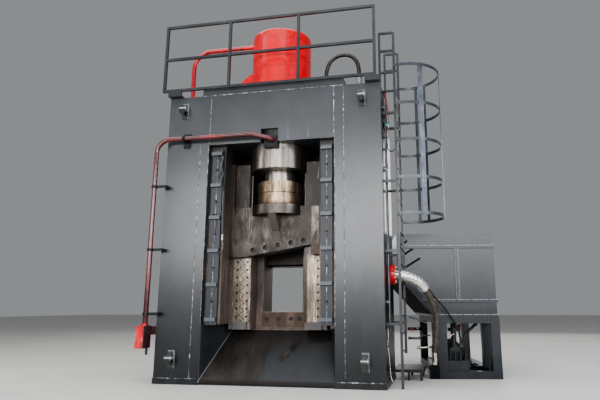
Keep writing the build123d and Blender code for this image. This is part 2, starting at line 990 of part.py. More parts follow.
# Hold-down clamp behind the blades, hung from its own upright cylinder.
with BuildPart() as clamp_plate:
    fill(
        -clamp_width / 2, clamp_width / 2,
        clamp_y, clamp_y + clamp_thickness,
        throat_top, throat_top + clamp_height,
    )
    lower_edges = clamp_plate.edges().filter_by(Axis.X).group_by(Axis.Z)[0]
    chamfer(lower_edges, clamp_bevel)
write(clamp_plate, "clamp_plate")

with BuildPart() as clamp_rod:
    upright(0, clamp_axis_y, throat_top + clamp_height, clamp_piston_bottom, clamp_rod_radius)
    upright(
        0, clamp_axis_y,
        clamp_piston_bottom, clamp_piston_bottom + clamp_piston_height,
        clamp_bore - shaft_gap,
    )
write(clamp_rod, "clamp_rod")

with BuildPart() as clamp_cylinder:
    upright(0, clamp_axis_y, clamp_barrel_bottom, jamb_top - clamp_flange_height, clamp_barrel_radius)
    upright(0, clamp_axis_y, jamb_top - clamp_flange_height, jamb_top, clamp_flange_radius)
    upright(
        0, clamp_axis_y,
        clamp_barrel_bottom + clamp_gland, jamb_top - 2 * clamp_flange_height,
        clamp_bore, Mode.SUBTRACT,
    )
    upright(
        0, clamp_axis_y,
        clamp_barrel_bottom, clamp_barrel_bottom + clamp_gland,
        clamp_rod_radius + shaft_gap, Mode.SUBTRACT,
    )
write(clamp_cylinder, "clamp_cylinder")

# Lifting lugs: a back plate, a round pin and a long keeper plate at its end.
with BuildPart() as lifting_lugs:
    for side in (-1, 1):
        for level in lug_heights:
            plate_y = front_y - lug_plate_thickness
            pin_y = plate_y - lug_pin_length
            fill(
                side * lug_x - lug_plate_width / 2, side * lug_x + lug_plate_width / 2,
                plate_y, front_y,
                level - lug_plate_height / 2, level + lug_plate_height / 2,
            )
            along_y(side * lug_x, level, pin_y, plate_y, lug_pin_radius)
            with BuildSketch(face_at(pin_y)):
                with Locations((side * lug_x, level)):
                    SlotOverall(lug_keeper_height, lug_keeper_width, rotation=90)
            extrude(amount=lug_plate_thickness)
write(lifting_lugs, "lifting_lugs")

# Return pipe of the main cylinder: across the front, then down beside the left column.
with BuildPart() as return_pipe:
    route = rounded_path(
        [
            (return_pipe_port_x, flange_block_y, return_pipe_port_height),
            (return_pipe_port_x, return_pipe_y, return_pipe_port_height),
            (return_pipe_drop_x, return_pipe_y, return_pipe_height),
            (return_pipe_down_x, return_pipe_y, return_pipe_height),
            (return_pipe_down_x, return_pipe_y, valve_top + valve_neck_height),
        ],
        [return_pipe_elbow, return_pipe_bend, return_pipe_bend],
    )
    with BuildSketch(start_plane(route)):
        Circle(pipe_radius)
    sweep(path=route)
write(return_pipe, "return_pipe")

with BuildPart() as pipe_flange_block:
    fill(
        flange_block_left, flange_block_right,
        flange_block_y, front_y + notch_depth,
        flange_block_bottom, flange_block_top,
    )
    upright(0, cylinder_y, flange_block_bottom, opening_top, gland_radius, Mode.SUBTRACT)
    upright(0, cylinder_y, opening_top, flange_block_top, barrel_radius, Mode.SUBTRACT)
    block_middle = (
        (flange_block_left + flange_block_right) / 2,
        (flange_block_bottom + flange_block_top) / 2,
    )
    with BuildSketch(face_at(flange_block_y)):
        with Locations(block_middle):
            with GridLocations(flange_bolt_pitch_x, flange_bolt_pitch_z, 2, 2):
                Circle(bar_bolt_radius)
    extrude(amount=bolt_head_height)
write(pipe_flange_block, "pipe_flange_block")

# Brackets that carry the return pipe: three on its upright run, one hanger on its level run.
with BuildPart() as pipe_clamps:
    band_radius = pipe_radius + pipe_clamp_wall
    for level in clamp_heights:
        low = level - pipe_clamp_height / 2
        high = level + pipe_clamp_height / 2
        upright(return_pipe_down_x, return_pipe_y, low, high, band_radius)
        fill(return_pipe_down_x, clamp_arm_end, clamp_arm_y, clamp_arm_y + pipe_clamp_wall, low, high)
        fill(clamp_arm_end - pipe_clamp_height, clamp_arm_end, clamp_arm_y, front_y, low, high)
        upright(return_pipe_down_x, return_pipe_y, low, high, pipe_radius, Mode.SUBTRACT)
    with Locations(Location((hanger_x, return_pipe_y, return_pipe_height), (0, 90, 0))):
        Cylinder(band_radius, pipe_clamp_height)
    fill(
        hanger_x - pipe_clamp_height / 2, hanger_x + pipe_clamp_height / 2,
        return_pipe_y + pipe_radius, front_y - hanger_thickness,
        return_pipe_height - pipe_clamp_height, return_pipe_height + pipe_clamp_height,
    )
    fill(
        hanger_x - hanger_width / 2, hanger_x + hanger_width / 2,
        front_y - hanger_thickness, front_y,
        return_pipe_height - hanger_drop, return_pipe_height - hanger_drop + hanger_height,
    )
    with Locations(Location((hanger_x, return_pipe_y, return_pipe_height), (0, 90, 0))):
        Cylinder(pipe_radius, pipe_clamp_height, mode=Mode.SUBTRACT)
write(pipe_clamps, "pipe_clamps")

# Valve block at the foot of the return pipe.
with BuildPart() as check_valve:
    fill(valve_left, valve_left + valve_width, valve_y, valve_y + valve_depth, valve_bottom, valve_top)
    chamfer(check_valve.edges().filter_by(Axis.Z), valve_chamfer)
    upright(return_pipe_down_x, return_pipe_y, valve_top, valve_top + valve_neck_height, valve_neck_radius)
    fill(
        valve_left + valve_width - valve_bracket_depth, -outer_x,
        front_y, front_y + valve_bracket_depth,
        valve_top - valve_bracket_height, valve_top - valve_chamfer,
    )
    upright(
        valve_left + valve_width - 2 * valve_stub_radius, valve_y + valve_depth - 2 * valve_stub_radius,
        valve_bottom - valve_stub_length, valve_bottom,
        valve_stub_radius,
    )
write(check_valve, "check_valve")

# Feed pipe of the main cylinder, from the barrel's side over to the left column.
with BuildPart() as top_pipe:
    route = rounded_path(
        [
            (top_pipe_entry - barrel_radius, cylinder_y, top_pipe_height),
            (top_pipe_down_x, cylinder_y, top_pipe_height),
            (top_pipe_down_x, cylinder_y, column_top),
        ],
        [top_pipe_bend],
    )
    with BuildSketch(start_plane(route)):
        Circle(pipe_radius)
    sweep(path=route)
    add(cylinder_barrel.part, mode=Mode.SUBTRACT)
    upright(top_pipe_down_x, cylinder_y, column_top, column_top + pipe_foot_height, pipe_foot_radius)
write(top_pipe, "top_pipe")

with BuildPart() as top_hose:
    radii = bend_radii(top_hose_route)
    route = rounded_path(top_hose_route, radii)
    with BuildSketch(start_plane(route)):
        Circle(top_hose_radius)
    sweep(path=route)
report_hose("top_hose", top_hose, route, top_hose_radius, radii)
write(top_hose, "top_hose")

with BuildPart() as top_hose_fittings:
    for fitting_x, top, foot in (
        (top_hose_route[0][0], top_hose_route[0][2], crown_top),
        (top_hose_route[-1][0], top_hose_route[-1][2], column_top),
    ):
        upright(fitting_x, top_hose_y, foot, top, top_fitting_radius)
write(top_hose_fittings, "top_hose_fittings")

# Railing panel in front of the top edge, on two feet bolted to the column tops.
with BuildPart() as railing:
    half_tube = rail_tube / 2
    for level in (rail_heights[0], rail_heights[-1]):
        fill(
            rail_posts[0] - half_tube, rail_posts[-1] + half_tube,
            rail_y - half_tube, rail_y + half_tube,
            level - half_tube, level + half_tube,
        )
    for post_x in rail_posts:
        fill(
            post_x - half_tube, post_x + half_tube,
            rail_y - half_tube, rail_y + half_tube,
            rail_heights[0] + half_tube + weld_gap, rail_heights[-1] - half_tube - weld_gap,
        )
    for left_post, right_post in zip(rail_posts, rail_posts[1:]):
        fill(
            left_post + half_tube + weld_gap, right_post - half_tube - weld_gap,
            rail_y - half_tube, rail_y + half_tube,
            rail_heights[1] - half_tube, rail_heights[1] + half_tube,
        )
    for side in (-1, 1):
        foot_left = side * rail_foot_x - rail_foot_length / 2
        foot_right = side * rail_foot_x + rail_foot_length / 2
        foot_top = column_top + rail_foot_thickness
        fill(foot_left, foot_right, rail_y - half_tube, rail_y + rail_foot_reach, column_top, foot_top)
        fill(
            foot_left, foot_right,
            rail_y - half_tube, rail_y + half_tube,
            foot_top, rail_heights[0] - half_tube - weld_gap,
        )
write(railing, "railing")

# Ladder stringers and the stand-off bars that hold them to the right column.
with BuildPart() as ladder_stringers:
    half_tube = ladder_tube / 2
    for stringer_y, foot in ((ladder_near_y, 0), (ladder_far_y, ladder_far_bottom)):
        fill(
            ladder_x - half_tube, ladder_x + half_tube,
            stringer_y - half_tube, stringer_y + half_tube,
            foot, ladder_top,
        )
        for level in stand_off_heights:
            fill(
                outer_x, ladder_x - half_tube - weld_gap,
                stringer_y - half_tube, stringer_y + half_tube,
                level - half_tube, level + half_tube,
            )
write(ladder_stringers, "ladder_stringers")

with BuildPart() as ladder_rungs:
    for rung in range(rung_count):
        along_y(
            ladder_x, rung_first + rung * rung_pitch,
            ladder_near_y + half_tube, ladder_far_y - half_tube,
            rung_radius,
        )
write(ladder_rungs, "ladder_rungs")

# Safety cage: flat hoops with short tabs back to the stringers, and upright straps outside them.
with BuildPart() as cage_hoops:
    hoop_edge = sqrt(cage_radius**2 - (cage_x - ladder_x) ** 2)
    for level in hoop_heights:
        with BuildSketch(Plane.XY.offset(level - cage_bar / 2)):
            with Locations((cage_x, cage_y)):
                Circle(cage_radius)
                Circle(cage_radius - cage_bar_thickness, mode=Mode.SUBTRACT)
            with Locations((ladder_x, cage_y)):
                Rectangle(
                    2 * cage_radius, 2 * cage_radius,
                    align=(Align.MIN, Align.CENTER), mode=Mode.INTERSECT,
                )
        extrude(amount=cage_bar)
        for tab_edge, stringer_edge in (
            (cage_y - hoop_edge, ladder_near_y - half_tube),
            (cage_y + hoop_edge, ladder_far_y + half_tube),
        ):
            fill(
                ladder_x, ladder_x + cage_bar_thickness,
                tab_edge, stringer_edge,
                level - cage_bar / 2, level + cage_bar / 2,
            )
write(cage_hoops, "cage_hoops")

with BuildPart() as cage_straps:
    strap_circle = cage_radius + cage_bar_thickness / 2
    strap_middle = (hoop_heights[0] + hoop_heights[-1]) / 2
    strap_length = hoop_heights[-1] - hoop_heights[0] + cage_bar
    for angle, width in zip(strap_angles, strap_widths):
        strap_x = cage_x + strap_circle * cos(radians(angle))
        strap_y = cage_y + strap_circle * sin(radians(angle))
        with Locations(Location((strap_x, strap_y, strap_middle), (0, 0, angle))):
            Box(cage_bar_thickness, width, strap_length)
write(cage_straps, "cage_straps")

# Guard frames beside the top of the ladder.
with BuildPart() as landing_frames:
    half_tube = landing_tube / 2
    frame_end = ladder_x - ladder_tube / 2 - weld_gap
    for frame_y in (ladder_near_y, ladder_far_y):
        fill(
            landing_x, landing_x + landing_tube,
            frame_y - half_tube, frame_y + half_tube,
            column_top, landing_heights[-1] + half_tube,
        )
        for level in landing_heights:
            fill(
                landing_x + landing_tube + weld_gap, frame_end,
                frame_y - half_tube, frame_y + half_tube,
                level - half_tube, level + half_tube,
            )
write(landing_frames, "landing_frames")

# Big hose from the gantry's right side down to the power unit.
hose_wire = rounded_path(main_hose_route, bend_radii(main_hose_route))
with BuildPart() as hose_flange:
    with Locations(Location((outer_x + flange_length / 2, flange_y, flange_height), (0, 90, 0))):
        Cylinder(flange_radius, flange_length)
    with BuildSketch(Plane.YZ.offset(outer_x + flange_length)):
        with Locations((flange_y, flange_height)):
            with PolarLocations(flange_bolt_circle, flange_bolt_count, start_angle=flange_bolt_start):
                RegularPolygon(bar_bolt_head, 6)
    extrude(amount=bolt_head_height)
write(hose_flange, "hose_flange")

with BuildPart() as hose_collar:
    with BuildSketch(Plane.YZ.offset(outer_x + flange_length)):
        with Locations((flange_y, flange_height)):
            Circle(collar_hose_radius)
    extrude(amount=2 * collar_hose_length)
    split(bisect_by=start_plane(hose_wire), keep=Keep.BOTTOM)
write(hose_collar, "hose_collar")

with BuildPart() as main_hose:
    with BuildSketch(start_plane(hose_wire)):
        Circle(hose_radius)
    sweep(path=hose_wire)
report_hose("main_hose", main_hose, hose_wire, hose_radius, bend_radii(main_hose_route))
write(main_hose, "main_hose")

with BuildPart() as hose_sleeve:
    sleeve_wire = hose_wire.trim(0, sleeve_share)
    with BuildSketch(start_plane(sleeve_wire)):
        Circle(sleeve_radius)
        Circle(hose_radius + running_gap, mode=Mode.SUBTRACT)
    sweep(path=sleeve_wire)
write(hose_sleeve, "hose_sleeve")

with BuildPart() as hose_end_fitting:
    hose_end = end_plane(hose_wire)
    fitting_top = hose_foot.Z + 2 * fitting_radius
    upright(hose_foot.X, hose_foot.Y, hose_block_height, fitting_top, fitting_radius)
    split(bisect_by=hose_end, keep=Keep.TOP)
    with BuildSketch(Plane.XY.offset(hose_block_height)):
        with Locations((hose_foot.X, hose_foot.Y)):
            RegularPolygon(fitting_hex, 6)
    extrude(amount=fitting_hex_height)
    with Locations(unit_plane):
        with Locations((hose_block_x, hose_block_depth / 2, hose_block_height / 2)):
            Box(hose_block_width, hose_block_depth, hose_block_height)
write(hose_end_fitting, "hose_end_fitting")

with BuildPart() as pilot_hose:
    radii = bend_radii(pilot_hose_route)
    route = rounded_path(pilot_hose_route, radii)
    with BuildSketch(start_plane(route)):
        Circle(pilot_hose_radius)
    sweep(path=route)
report_hose("pilot_hose", pilot_hose, route, pilot_hose_radius, radii)
write(pilot_hose, "pilot_hose")

with BuildPart() as low_step:
    fill(outer_x, step_right, step_y_from, step_y_to, step_height - step_thickness, step_height)
    for leg_x in step_leg_x:
        for leg_y in (step_y_from + step_leg_inset, step_y_to - step_leg_inset):
            fill(
                leg_x - step_leg / 2, leg_x + step_leg / 2,
                leg_y - step_leg / 2, leg_y + step_leg / 2,
                0, step_height - step_thickness - weld_gap,
            )
write(low_step, "low_step")

# Stand of the power unit: base and top beams joined by legs.
with BuildPart(unit_plane) as stand_frame:
    beam_levels = (
        (0, unit_base_height),
        (unit_beam_bottom, unit_beam_bottom + unit_beam_height),
    )
    for low, high in beam_levels:
        fill(-unit_width, 0, 0, unit_leg, low, high)
        fill(-unit_width, 0, unit_depth - unit_leg, unit_depth, low, high)
        fill(-unit_leg, 0, unit_leg + weld_gap, unit_depth - unit_leg - weld_gap, low, high)
        fill(
            -unit_width, unit_leg - unit_width,
            unit_leg + weld_gap, unit_depth - unit_leg - weld_gap,
            low, high,
        )
    for leg_x in (-unit_width, -unit_leg):
        for leg_y in (0, unit_mid_leg_depth, unit_depth - unit_leg):
            fill(
                leg_x, leg_x + unit_leg,
                leg_y, leg_y + unit_leg,
                unit_base_height + weld_gap, unit_beam_bottom - weld_gap,
            )
    for cross_y in motor_beam_places:
        fill(
            unit_leg - unit_width + weld_gap, -unit_leg - weld_gap,
            cross_y, cross_y + motor_beam_width,
            0, unit_base_height,
        )
write(stand_frame, "stand_frame")

# Oil tank with a sloping lower left side, flat stiffeners and short handles on its face.
with BuildPart(unit_plane) as oil_tank:
    with BuildSketch(unit_face_at(tank_front)):
        Polygon(
            (-tank_inset, tank_bottom),
            (-tank_cut_width, tank_bottom),
            (tank_left, tank_bottom + tank_cut_height),
            (tank_left, tank_bottom + tank_height),
            (-tank_inset, tank_bottom + tank_height),
            align=None,
        )
    extrude(amount=-tank_depth)
    fill(
        -tank_cut_width, tank_band_rim - tank_inset,
        tank_front - tank_band_rim, tank_front + tank_depth,
        tank_bottom, tank_bottom + tank_band,
    )
    for level in tank_ridge_heights:
        ridge_foot = level - tank_ridge_width / 2 - tank_bottom
        ridge_left = max(tank_left, -tank_cut_width - ridge_foot / tank_cut_slope)
        fill(
            ridge_left, tank_ridge - tank_inset,
            tank_front - tank_ridge, tank_front,
            level - tank_ridge_width / 2, level + tank_ridge_width / 2,
        )
        fill(
            -tank_inset, tank_ridge - tank_inset,
            tank_front, tank_front + tank_depth,
            level - tank_ridge_width / 2, level + tank_ridge_width / 2,
        )
    fill(
        tank_rib_x - tank_ridge_width / 2, tank_rib_x + tank_ridge_width / 2,
        tank_front - tank_ridge, tank_front,
        tank_ridge_heights[0], tank_ridge_heights[1],
    )
    with BuildSketch(unit_face_at(tank_front)):
        for handle_x, handle_z, handle_length in tank_handles:
            with Locations((handle_x, handle_z)):
                Rectangle(handle_length, tank_handle_width, rotation=tank_handle_slope)
    extrude(amount=tank_handle_depth)
write(oil_tank, "oil_tank")

# Motor, bellhousing, coupling and pump in line on the stand's base.
with BuildPart(unit_plane) as pump_motor:
    along_y(motor_x, motor_z, motor_front, motor_front + motor_length, motor_radius)
    fill(
        motor_x - motor_foot_width / 2, motor_x + motor_foot_width / 2,
        motor_beam_places[0], motor_beam_places[-1] + motor_beam_width,
        unit_base_height, unit_base_height + motor_foot_thickness,
    )
    fill(
        motor_x - motor_foot_width / 4, motor_x + motor_foot_width / 4,
        motor_beam_places[0], motor_beam_places[-1] + motor_beam_width,
        unit_base_height + motor_foot_thickness, motor_z,
    )
    along_y(
        motor_x, motor_z,
        motor_front, motor_front + shaft_entry,
        motor_shaft_radius + shaft_gap, Mode.SUBTRACT,
    )
write(pump_motor, "pump_motor")

with BuildPart(unit_plane) as pump_bellhousing:
    bell_front = motor_front - bell_length
    along_y(motor_x, motor_z, bell_front, motor_front, bell_radius)
    along_y(motor_x, motor_z, bell_front, motor_front, bell_bore, Mode.SUBTRACT)
write(pump_bellhousing, "pump_bellhousing")

with BuildPart(unit_plane) as pump_coupling:
    shaft_half_entry = shaft_entry - weld_gap
    along_y(
        motor_x, motor_z,
        bell_front - shaft_half_entry, motor_front + shaft_half_entry,
        motor_shaft_radius,
    )
    along_y(motor_x, motor_z, bell_front + coupling_margin, motor_front - coupling_margin, coupling_radius)
write(pump_coupling, "pump_coupling")

with BuildPart(unit_plane) as main_pump:
    pump_front = bell_front - pump_length
    pump_middle = bell_front - pump_length / 2
    along_y(motor_x, motor_z, pump_front, bell_front, pump_radius)
    upright(motor_x, pump_middle, motor_z, pump_port_top, suction_flange_radius)
    along_y(
        motor_x, motor_z,
        bell_front - shaft_entry, bell_front,
        motor_shaft_radius + shaft_gap, Mode.SUBTRACT,
    )
write(main_pump, "main_pump")

# Suction pipe from the tank to the pump, with its hand valve.
with BuildPart(unit_plane) as suction_valve:
    upright(motor_x, pump_middle, pump_port_top, tank_bottom, suction_radius)
    for low, high in (
        (pump_port_top, pump_port_top + suction_flange_height),
        (tank_bottom - suction_flange_height, tank_bottom),
    ):
        upright(motor_x, pump_middle, low, high, suction_flange_radius)
    upright(motor_x, pump_middle, valve_body_level, valve_body_level + valve_body_height, valve_body_radius)
    along_x(
        pump_middle, lever_z,
        motor_x + valve_body_radius - lever_stem_entry, motor_x + valve_body_radius,
        lever_stem_radius + shaft_gap, Mode.SUBTRACT,
    )
write(suction_valve, "suction_valve")

with BuildPart(unit_plane) as valve_lever:
    lever_face = motor_x + valve_body_radius + lever_offset
    along_x(
        pump_middle, lever_z,
        motor_x + valve_body_radius - lever_stem_entry + weld_gap, lever_face + lever_thickness,
        lever_stem_radius,
    )
    fill(
        lever_face, lever_face + lever_thickness,
        pump_middle - lever_width / 2, pump_middle + lever_width / 2,
        lever_z - lever_width / 2, lever_z + lever_length,
    )
write(valve_lever, "valve_lever")

with BuildPart(unit_plane) as valve_manifold:
    fill(
        manifold_x - manifold_width / 2, manifold_x + manifold_width / 2,
        manifold_front, manifold_front + manifold_depth,
        unit_base_height, manifold_top,
    )
    for step in (-1.5, -0.5, 0.5, 1.5):
        upright(
            manifold_x + step * cartridge_pitch, manifold_front + manifold_depth / 2,
            manifold_top, manifold_top + cartridge_height,
            cartridge_radius,
        )
write(valve_manifold, "valve_manifold")

# Service pipes clipped to the right side face, behind the ladder.
with BuildPart() as side_pipes:
    pipe_x = outer_x + service_pipe_gap + service_pipe_radius
    for depth in service_pipe_depths:
        upright(pipe_x, front_y + depth, service_pipe_bottom, service_pipe_top, service_pipe_radius)
        for level in service_clip_heights:
            fill(
                outer_x, pipe_x,
                front_y + depth - service_pipe_radius, front_y + depth + service_pipe_radius,
                level, level + service_clip_height,
            )
write(side_pipes, "side_pipes")
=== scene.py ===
from math import cos, pi, radians, sin

import bpy
import numpy as np
from mathutils import Matrix, Vector


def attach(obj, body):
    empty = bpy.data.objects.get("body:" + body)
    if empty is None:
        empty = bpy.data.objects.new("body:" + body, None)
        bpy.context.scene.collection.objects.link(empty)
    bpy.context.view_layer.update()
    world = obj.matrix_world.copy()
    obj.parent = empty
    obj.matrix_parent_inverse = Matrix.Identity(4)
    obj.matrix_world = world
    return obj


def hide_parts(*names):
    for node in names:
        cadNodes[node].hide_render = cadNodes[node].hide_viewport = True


# Gantry scrap shear with its power unit, in metres: X across the gantry, Y to the rear, Z up.
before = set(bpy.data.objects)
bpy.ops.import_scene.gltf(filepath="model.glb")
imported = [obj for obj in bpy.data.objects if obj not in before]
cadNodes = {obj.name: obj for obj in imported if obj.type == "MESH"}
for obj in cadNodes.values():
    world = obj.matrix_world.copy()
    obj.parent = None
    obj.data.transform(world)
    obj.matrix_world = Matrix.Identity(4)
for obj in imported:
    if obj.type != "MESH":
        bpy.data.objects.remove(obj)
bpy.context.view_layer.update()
rng = np.random.default_rng(7)
frontY = -0.78
unitOrigin = Vector((4.098, 1.011, 0.0))
unitTurn = radians(9.4)


def linear(code, alpha=1.0):
    # A hex sRGB colour as the linear values that shader sockets take.
    parts = [int(code[i : i + 2], 16) / 255 for i in (1, 3, 5)]
    return tuple(c / 12.92 if c <= 0.04045 else ((c + 0.055) / 1.055) ** 2.4 for c in parts) + (alpha,)


def add(tree, kind, inputs=None, stops=None, **settings):
    # A shader node. An input is a constant, a node (its first output) or a pair of node and output.
    made = tree.nodes.new("ShaderNode" + kind)
    for key, value in settings.items():
        setattr(made, key, value)
    for key, value in (inputs or {}).items():
        if isinstance(value, bpy.types.Node):
            value = (value, 0)
        if isinstance(value, tuple) and isinstance(value[0], bpy.types.Node):
            tree.links.new(value[0].outputs[value[1]], made.inputs[key])
        else:
            made.inputs[key].default_value = value
    if stops:
        elements = made.color_ramp.elements
        while len(elements) < len(stops):
            elements.new(0.5)
        for element, (place, code) in zip(elements, stops):
            element.position = place
            element.color = linear(code)
    return made


def rampMask(source, output, start, end, amount=1.0):
    # Rises from nought to amount as the source's output goes from start to end, such as Z in metres.
    limits = {"Value": (source, output), "From Min": start, "From Max": end, "To Min": 0.0, "To Max": amount}
    return add(source.id_data, "MapRange", limits)


def cloudMask(where, perMetre, low, high, amount=1.0, stretch=(1, 1, 1), detail=5.0, turn=(0, 0, 0)):
    # Ragged patches: fractal noise over the coordinates, cut between two levels.
    tree = where[0].id_data
    placed = add(tree, "Mapping", {"Vector": where, "Rotation": turn, "Scale": stretch})
    cloud = add(tree, "TexNoise", {"Vector": placed, "Scale": perMetre, "Detail": detail, "Roughness": 0.6})
    return rampMask(cloud, 0, low, high, amount)


def together(*masks):
    # Masks multiplied.
    result = masks[0]
    for mask in masks[1:]:
        result = add(result.id_data, "Math", {0: result, 1: mask}, operation="MULTIPLY")
    return result


def windowMask(axes, low, high, soft=0.02):
    # One inside a box of object coordinates, with soft edges; None leaves a side open.
    masks = []
    for axis, first, last in zip("XYZ", low, high):
        if first is not None:
            masks.append(rampMask(axes, axis, first - soft, first + soft))
        if last is not None:
            masks.append(rampMask(axes, axis, last + soft, last - soft))
    return together(*masks)


def layered(tree, base, layers):
    # Colours laid over each other, each through its own mask.
    for mask, code in layers:
        mixed = {0: mask, 6: base, 7: linear(code)}
        base = (add(tree, "Mix", mixed, data_type="RGBA", clamp_factor=True), 2)
    return base


def finish(name, look, layers=None):
    # A material: broad patches of colour, layers over them, fine grain in roughness and relief.
    # The masks further down give their places in metres on the machine.
    made = bpy.data.materials.new(name)
    made.use_nodes = True
    tree = made.node_tree
    shader = tree.nodes["Principled BSDF"]
    where = (add(tree, "TexCoord"), "Object")
    axes = add(tree, "SeparateXYZ", {0: where})
    stretch = look.get("stretch", (1, 1, 1))
    placed = add(tree, "Mapping", {"Vector": where, "Scale": stretch, "Rotation": look.get("turn", (0, 0, 0))})
    patches = add(tree, "TexNoise", {"Vector": placed, "Scale": look["patches"], "Detail": 6.0, "Roughness": 0.62})
    colour = add(tree, "ValToRGB", {0: patches}, look["stops"])
    if layers:
        colour = layered(tree, colour, layers(tree, where, axes))
    grain = add(tree, "TexNoise", {"Vector": placed, "Scale": look["grain"], "Detail": 3.0, "Roughness": 0.6})
    low, high = look["roughness"]
    shade = add(tree, "MapRange", {"Value": grain, "From Min": 0.3, "From Max": 0.7, "To Min": low, "To Max": high})
    relief = add(tree, "Bump", {"Strength": look["bump"], "Distance": look.get("depth", 0.004), "Height": grain})
    for socket, source in (("Base Color", colour), ("Roughness", shade), ("Normal", relief)):
        source = source if isinstance(source, tuple) else (source, 0)
        tree.links.new(source[0].outputs[source[1]], shader.inputs[socket])
    shader.inputs["Metallic"].default_value = look["metallic"]
    shader.inputs["Coat Weight"].default_value = look.get("coat", 0.0)
    if "gloss" in look:  # where grime takes the gloss away
        gloss = look["gloss"](tree, where, axes)
        for socket, full in (("Coat Weight", look["coat"]), ("Specular IOR Level", 0.5)):
            share = add(tree, "Math", {0: gloss, 1: full}, operation="MULTIPLY")
            tree.links.new(share.outputs[0], shader.inputs[socket])
    shader.inputs["Coat Roughness"].default_value = look.get("coatRoughness", 0.03)
    if "glow" in look:  # a lit lens: its colour and strength
        shader.inputs["Emission Color"].default_value = linear(look["glow"][0])
        shader.inputs["Emission Strength"].default_value = look["glow"][1]
    if "ior" in look:
        shader.inputs["IOR"].default_value = look["ior"]
    return made


def gantryWearAndShade(tree, where, axes):
    # Faint runs and smudges, painted shade that deepens to the foot, dust near the floor, and the dark damp patch
    # with a ragged edge low on the right column.
    runs = cloudMask(where, 9.0, 0.6, 0.74, 0.25, (1, 1, 0.05))
    smudges = cloudMask(where, 2.2, 0.56, 0.74, 0.3, (1, 1, 0.6))
    dust = together(
        rampMask(axes, "Z", 0.3, 0.05), cloudMask(where, 6.0, 0.42, 0.66, 0.25, (1, 1, 0.5))
    )
    damp = together(
        rampMask(axes, "X", 1.28, 1.62),
        rampMask(axes, "Z", 2.35, 1.6),
        cloudMask(where, 2.6, 0.42, 0.52, 0.7, (1.6, 1, 0.45)),
    )
    # Painted shade, darker towards the foot.
    foot = rampMask(axes, "Z", 2.3, 0.7, 0.85)
    return [(runs, "#1b1e21"), (smudges, "#3f4449"), (foot, "#131619"), (damp, "#111417"), (dust, "#403e3b")]


# The four lugs: half their spacing across and up, and the height of the lower pair.
lugs = {"across": 1.76, "up": 2.34, "lowest": 0.43}


def lugHighlightsAndShade(tree, where, axes):
    # Lugs: painted highlights on the plate's right rim and on the top, broken by chips, in a band over the pin, and
    # painted shade under the pin. X and Z are wrapped round the spacing, so that the same marks fall on all four.
    sideways = add(tree, "Math", {0: (axes, "X"), 1: lugs["across"]}, operation="ADD")
    sideways = add(tree, "Math", {0: sideways, 1: lugs["across"], 2: -lugs["across"]}, operation="WRAP")
    upwards = add(tree, "Math", {0: (axes, "Z"), 1: lugs["lowest"]}, operation="SUBTRACT")
    upwards = add(tree, "Math", {0: upwards, 1: lugs["up"], 2: -lugs["up"]}, operation="WRAP")
    own = add(tree, "SeparateXYZ", {0: add(tree, "CombineXYZ", {0: sideways, 1: (axes, "Y"), 2: upwards})})
    chips = cloudMask(where, 60.0, 0.38, 0.52, 0.95)
    rim = together(rampMask(own, "X", 0.044, 0.052), chips)
    headHighlight = together(rampMask(own, "Z", 0.128, 0.138), chips)
    underShade = together(rampMask(own, "Z", 0.004, -0.012), rampMask(own, "Y", -0.8, -0.812))
    band = together(rampMask(own, "Z", 0.018, 0.024), rampMask(own, "Z", 0.046, 0.04),
                    rampMask(own, "Y", -0.806, -0.812))
    return [(rim, "#868a8c"), (headHighlight, "#74787b"), (underShade, "#0a0b0c"), (band, "#a5a9aa")]


def barGrimeAndHighlight(tree, where, axes):
    # Painted highlight on the ribs' outer faces, and grime lies on the bars in patches.
    # Painted highlight on the ribs' outer faces.
    ribHighlight = rampMask(axes, "Y", -0.745, -0.755, 0.55)
    grime = cloudMask(where, 5.0, 0.46, 0.66, 0.5, (1, 1, 0.5))
    return [(grime, "#16191c"), (ribHighlight, "#596066")]


def floorGrime(tree, where, axes):
    # Less gloss low down on the columns.
    return rampMask(axes, "Z", -1.3, 2.2)


def unitAxes(tree, where):
    # The power unit's own coordinates: moved to its corner and turned back.
    back = -unitOrigin.to_2d()
    place = (back.x * cos(unitTurn) + back.y * sin(unitTurn), -back.x * sin(unitTurn) + back.y * cos(unitTurn), 0)
    own = add(tree, "Mapping", {"Vector": where, "Location": place, "Rotation": (0, 0, -unitTurn)})
    return add(tree, "SeparateXYZ", {0: own})


# Tank: its sloping underside is Z = -(fall * X + lift); heights of the two ridges, and the upright rib's -X.
tank = {"fall": 1.125, "lift": 0.2653, "ridges": (1.476, 2.527), "rib": 0.762}


def slopeDepth(tree, ownAxes):
    # Height over the tank's sloping underside, nought on the slope itself.
    rise = add(tree, "Math", {0: (ownAxes, "X"), 1: tank["fall"], 2: tank["lift"]}, operation="MULTIPLY_ADD")
    return add(tree, "Math", {0: (ownAxes, "Z"), 1: rise}, operation="ADD")


def unitGrime(tree, where, axes):
    # Less gloss low down on the unit, none on the black handles and the sloping underside.
    ownAxes = unitAxes(tree, where)
    handles = rampMask(ownAxes, "Y", -0.018, -0.014)
    low = rampMask(axes, "Z", 1.2, 1.1)
    handles = add(tree, "Math", {0: handles, 1: low}, operation="MAXIMUM")
    slope = rampMask(slopeDepth(tree, ownAxes), 0, 0.004, 0.012)
    slope = add(tree, "Math", {0: slope, 1: low}, operation="MAXIMUM")
    return together(rampMask(axes, "Z", -1.0, 2.3), handles, slope)


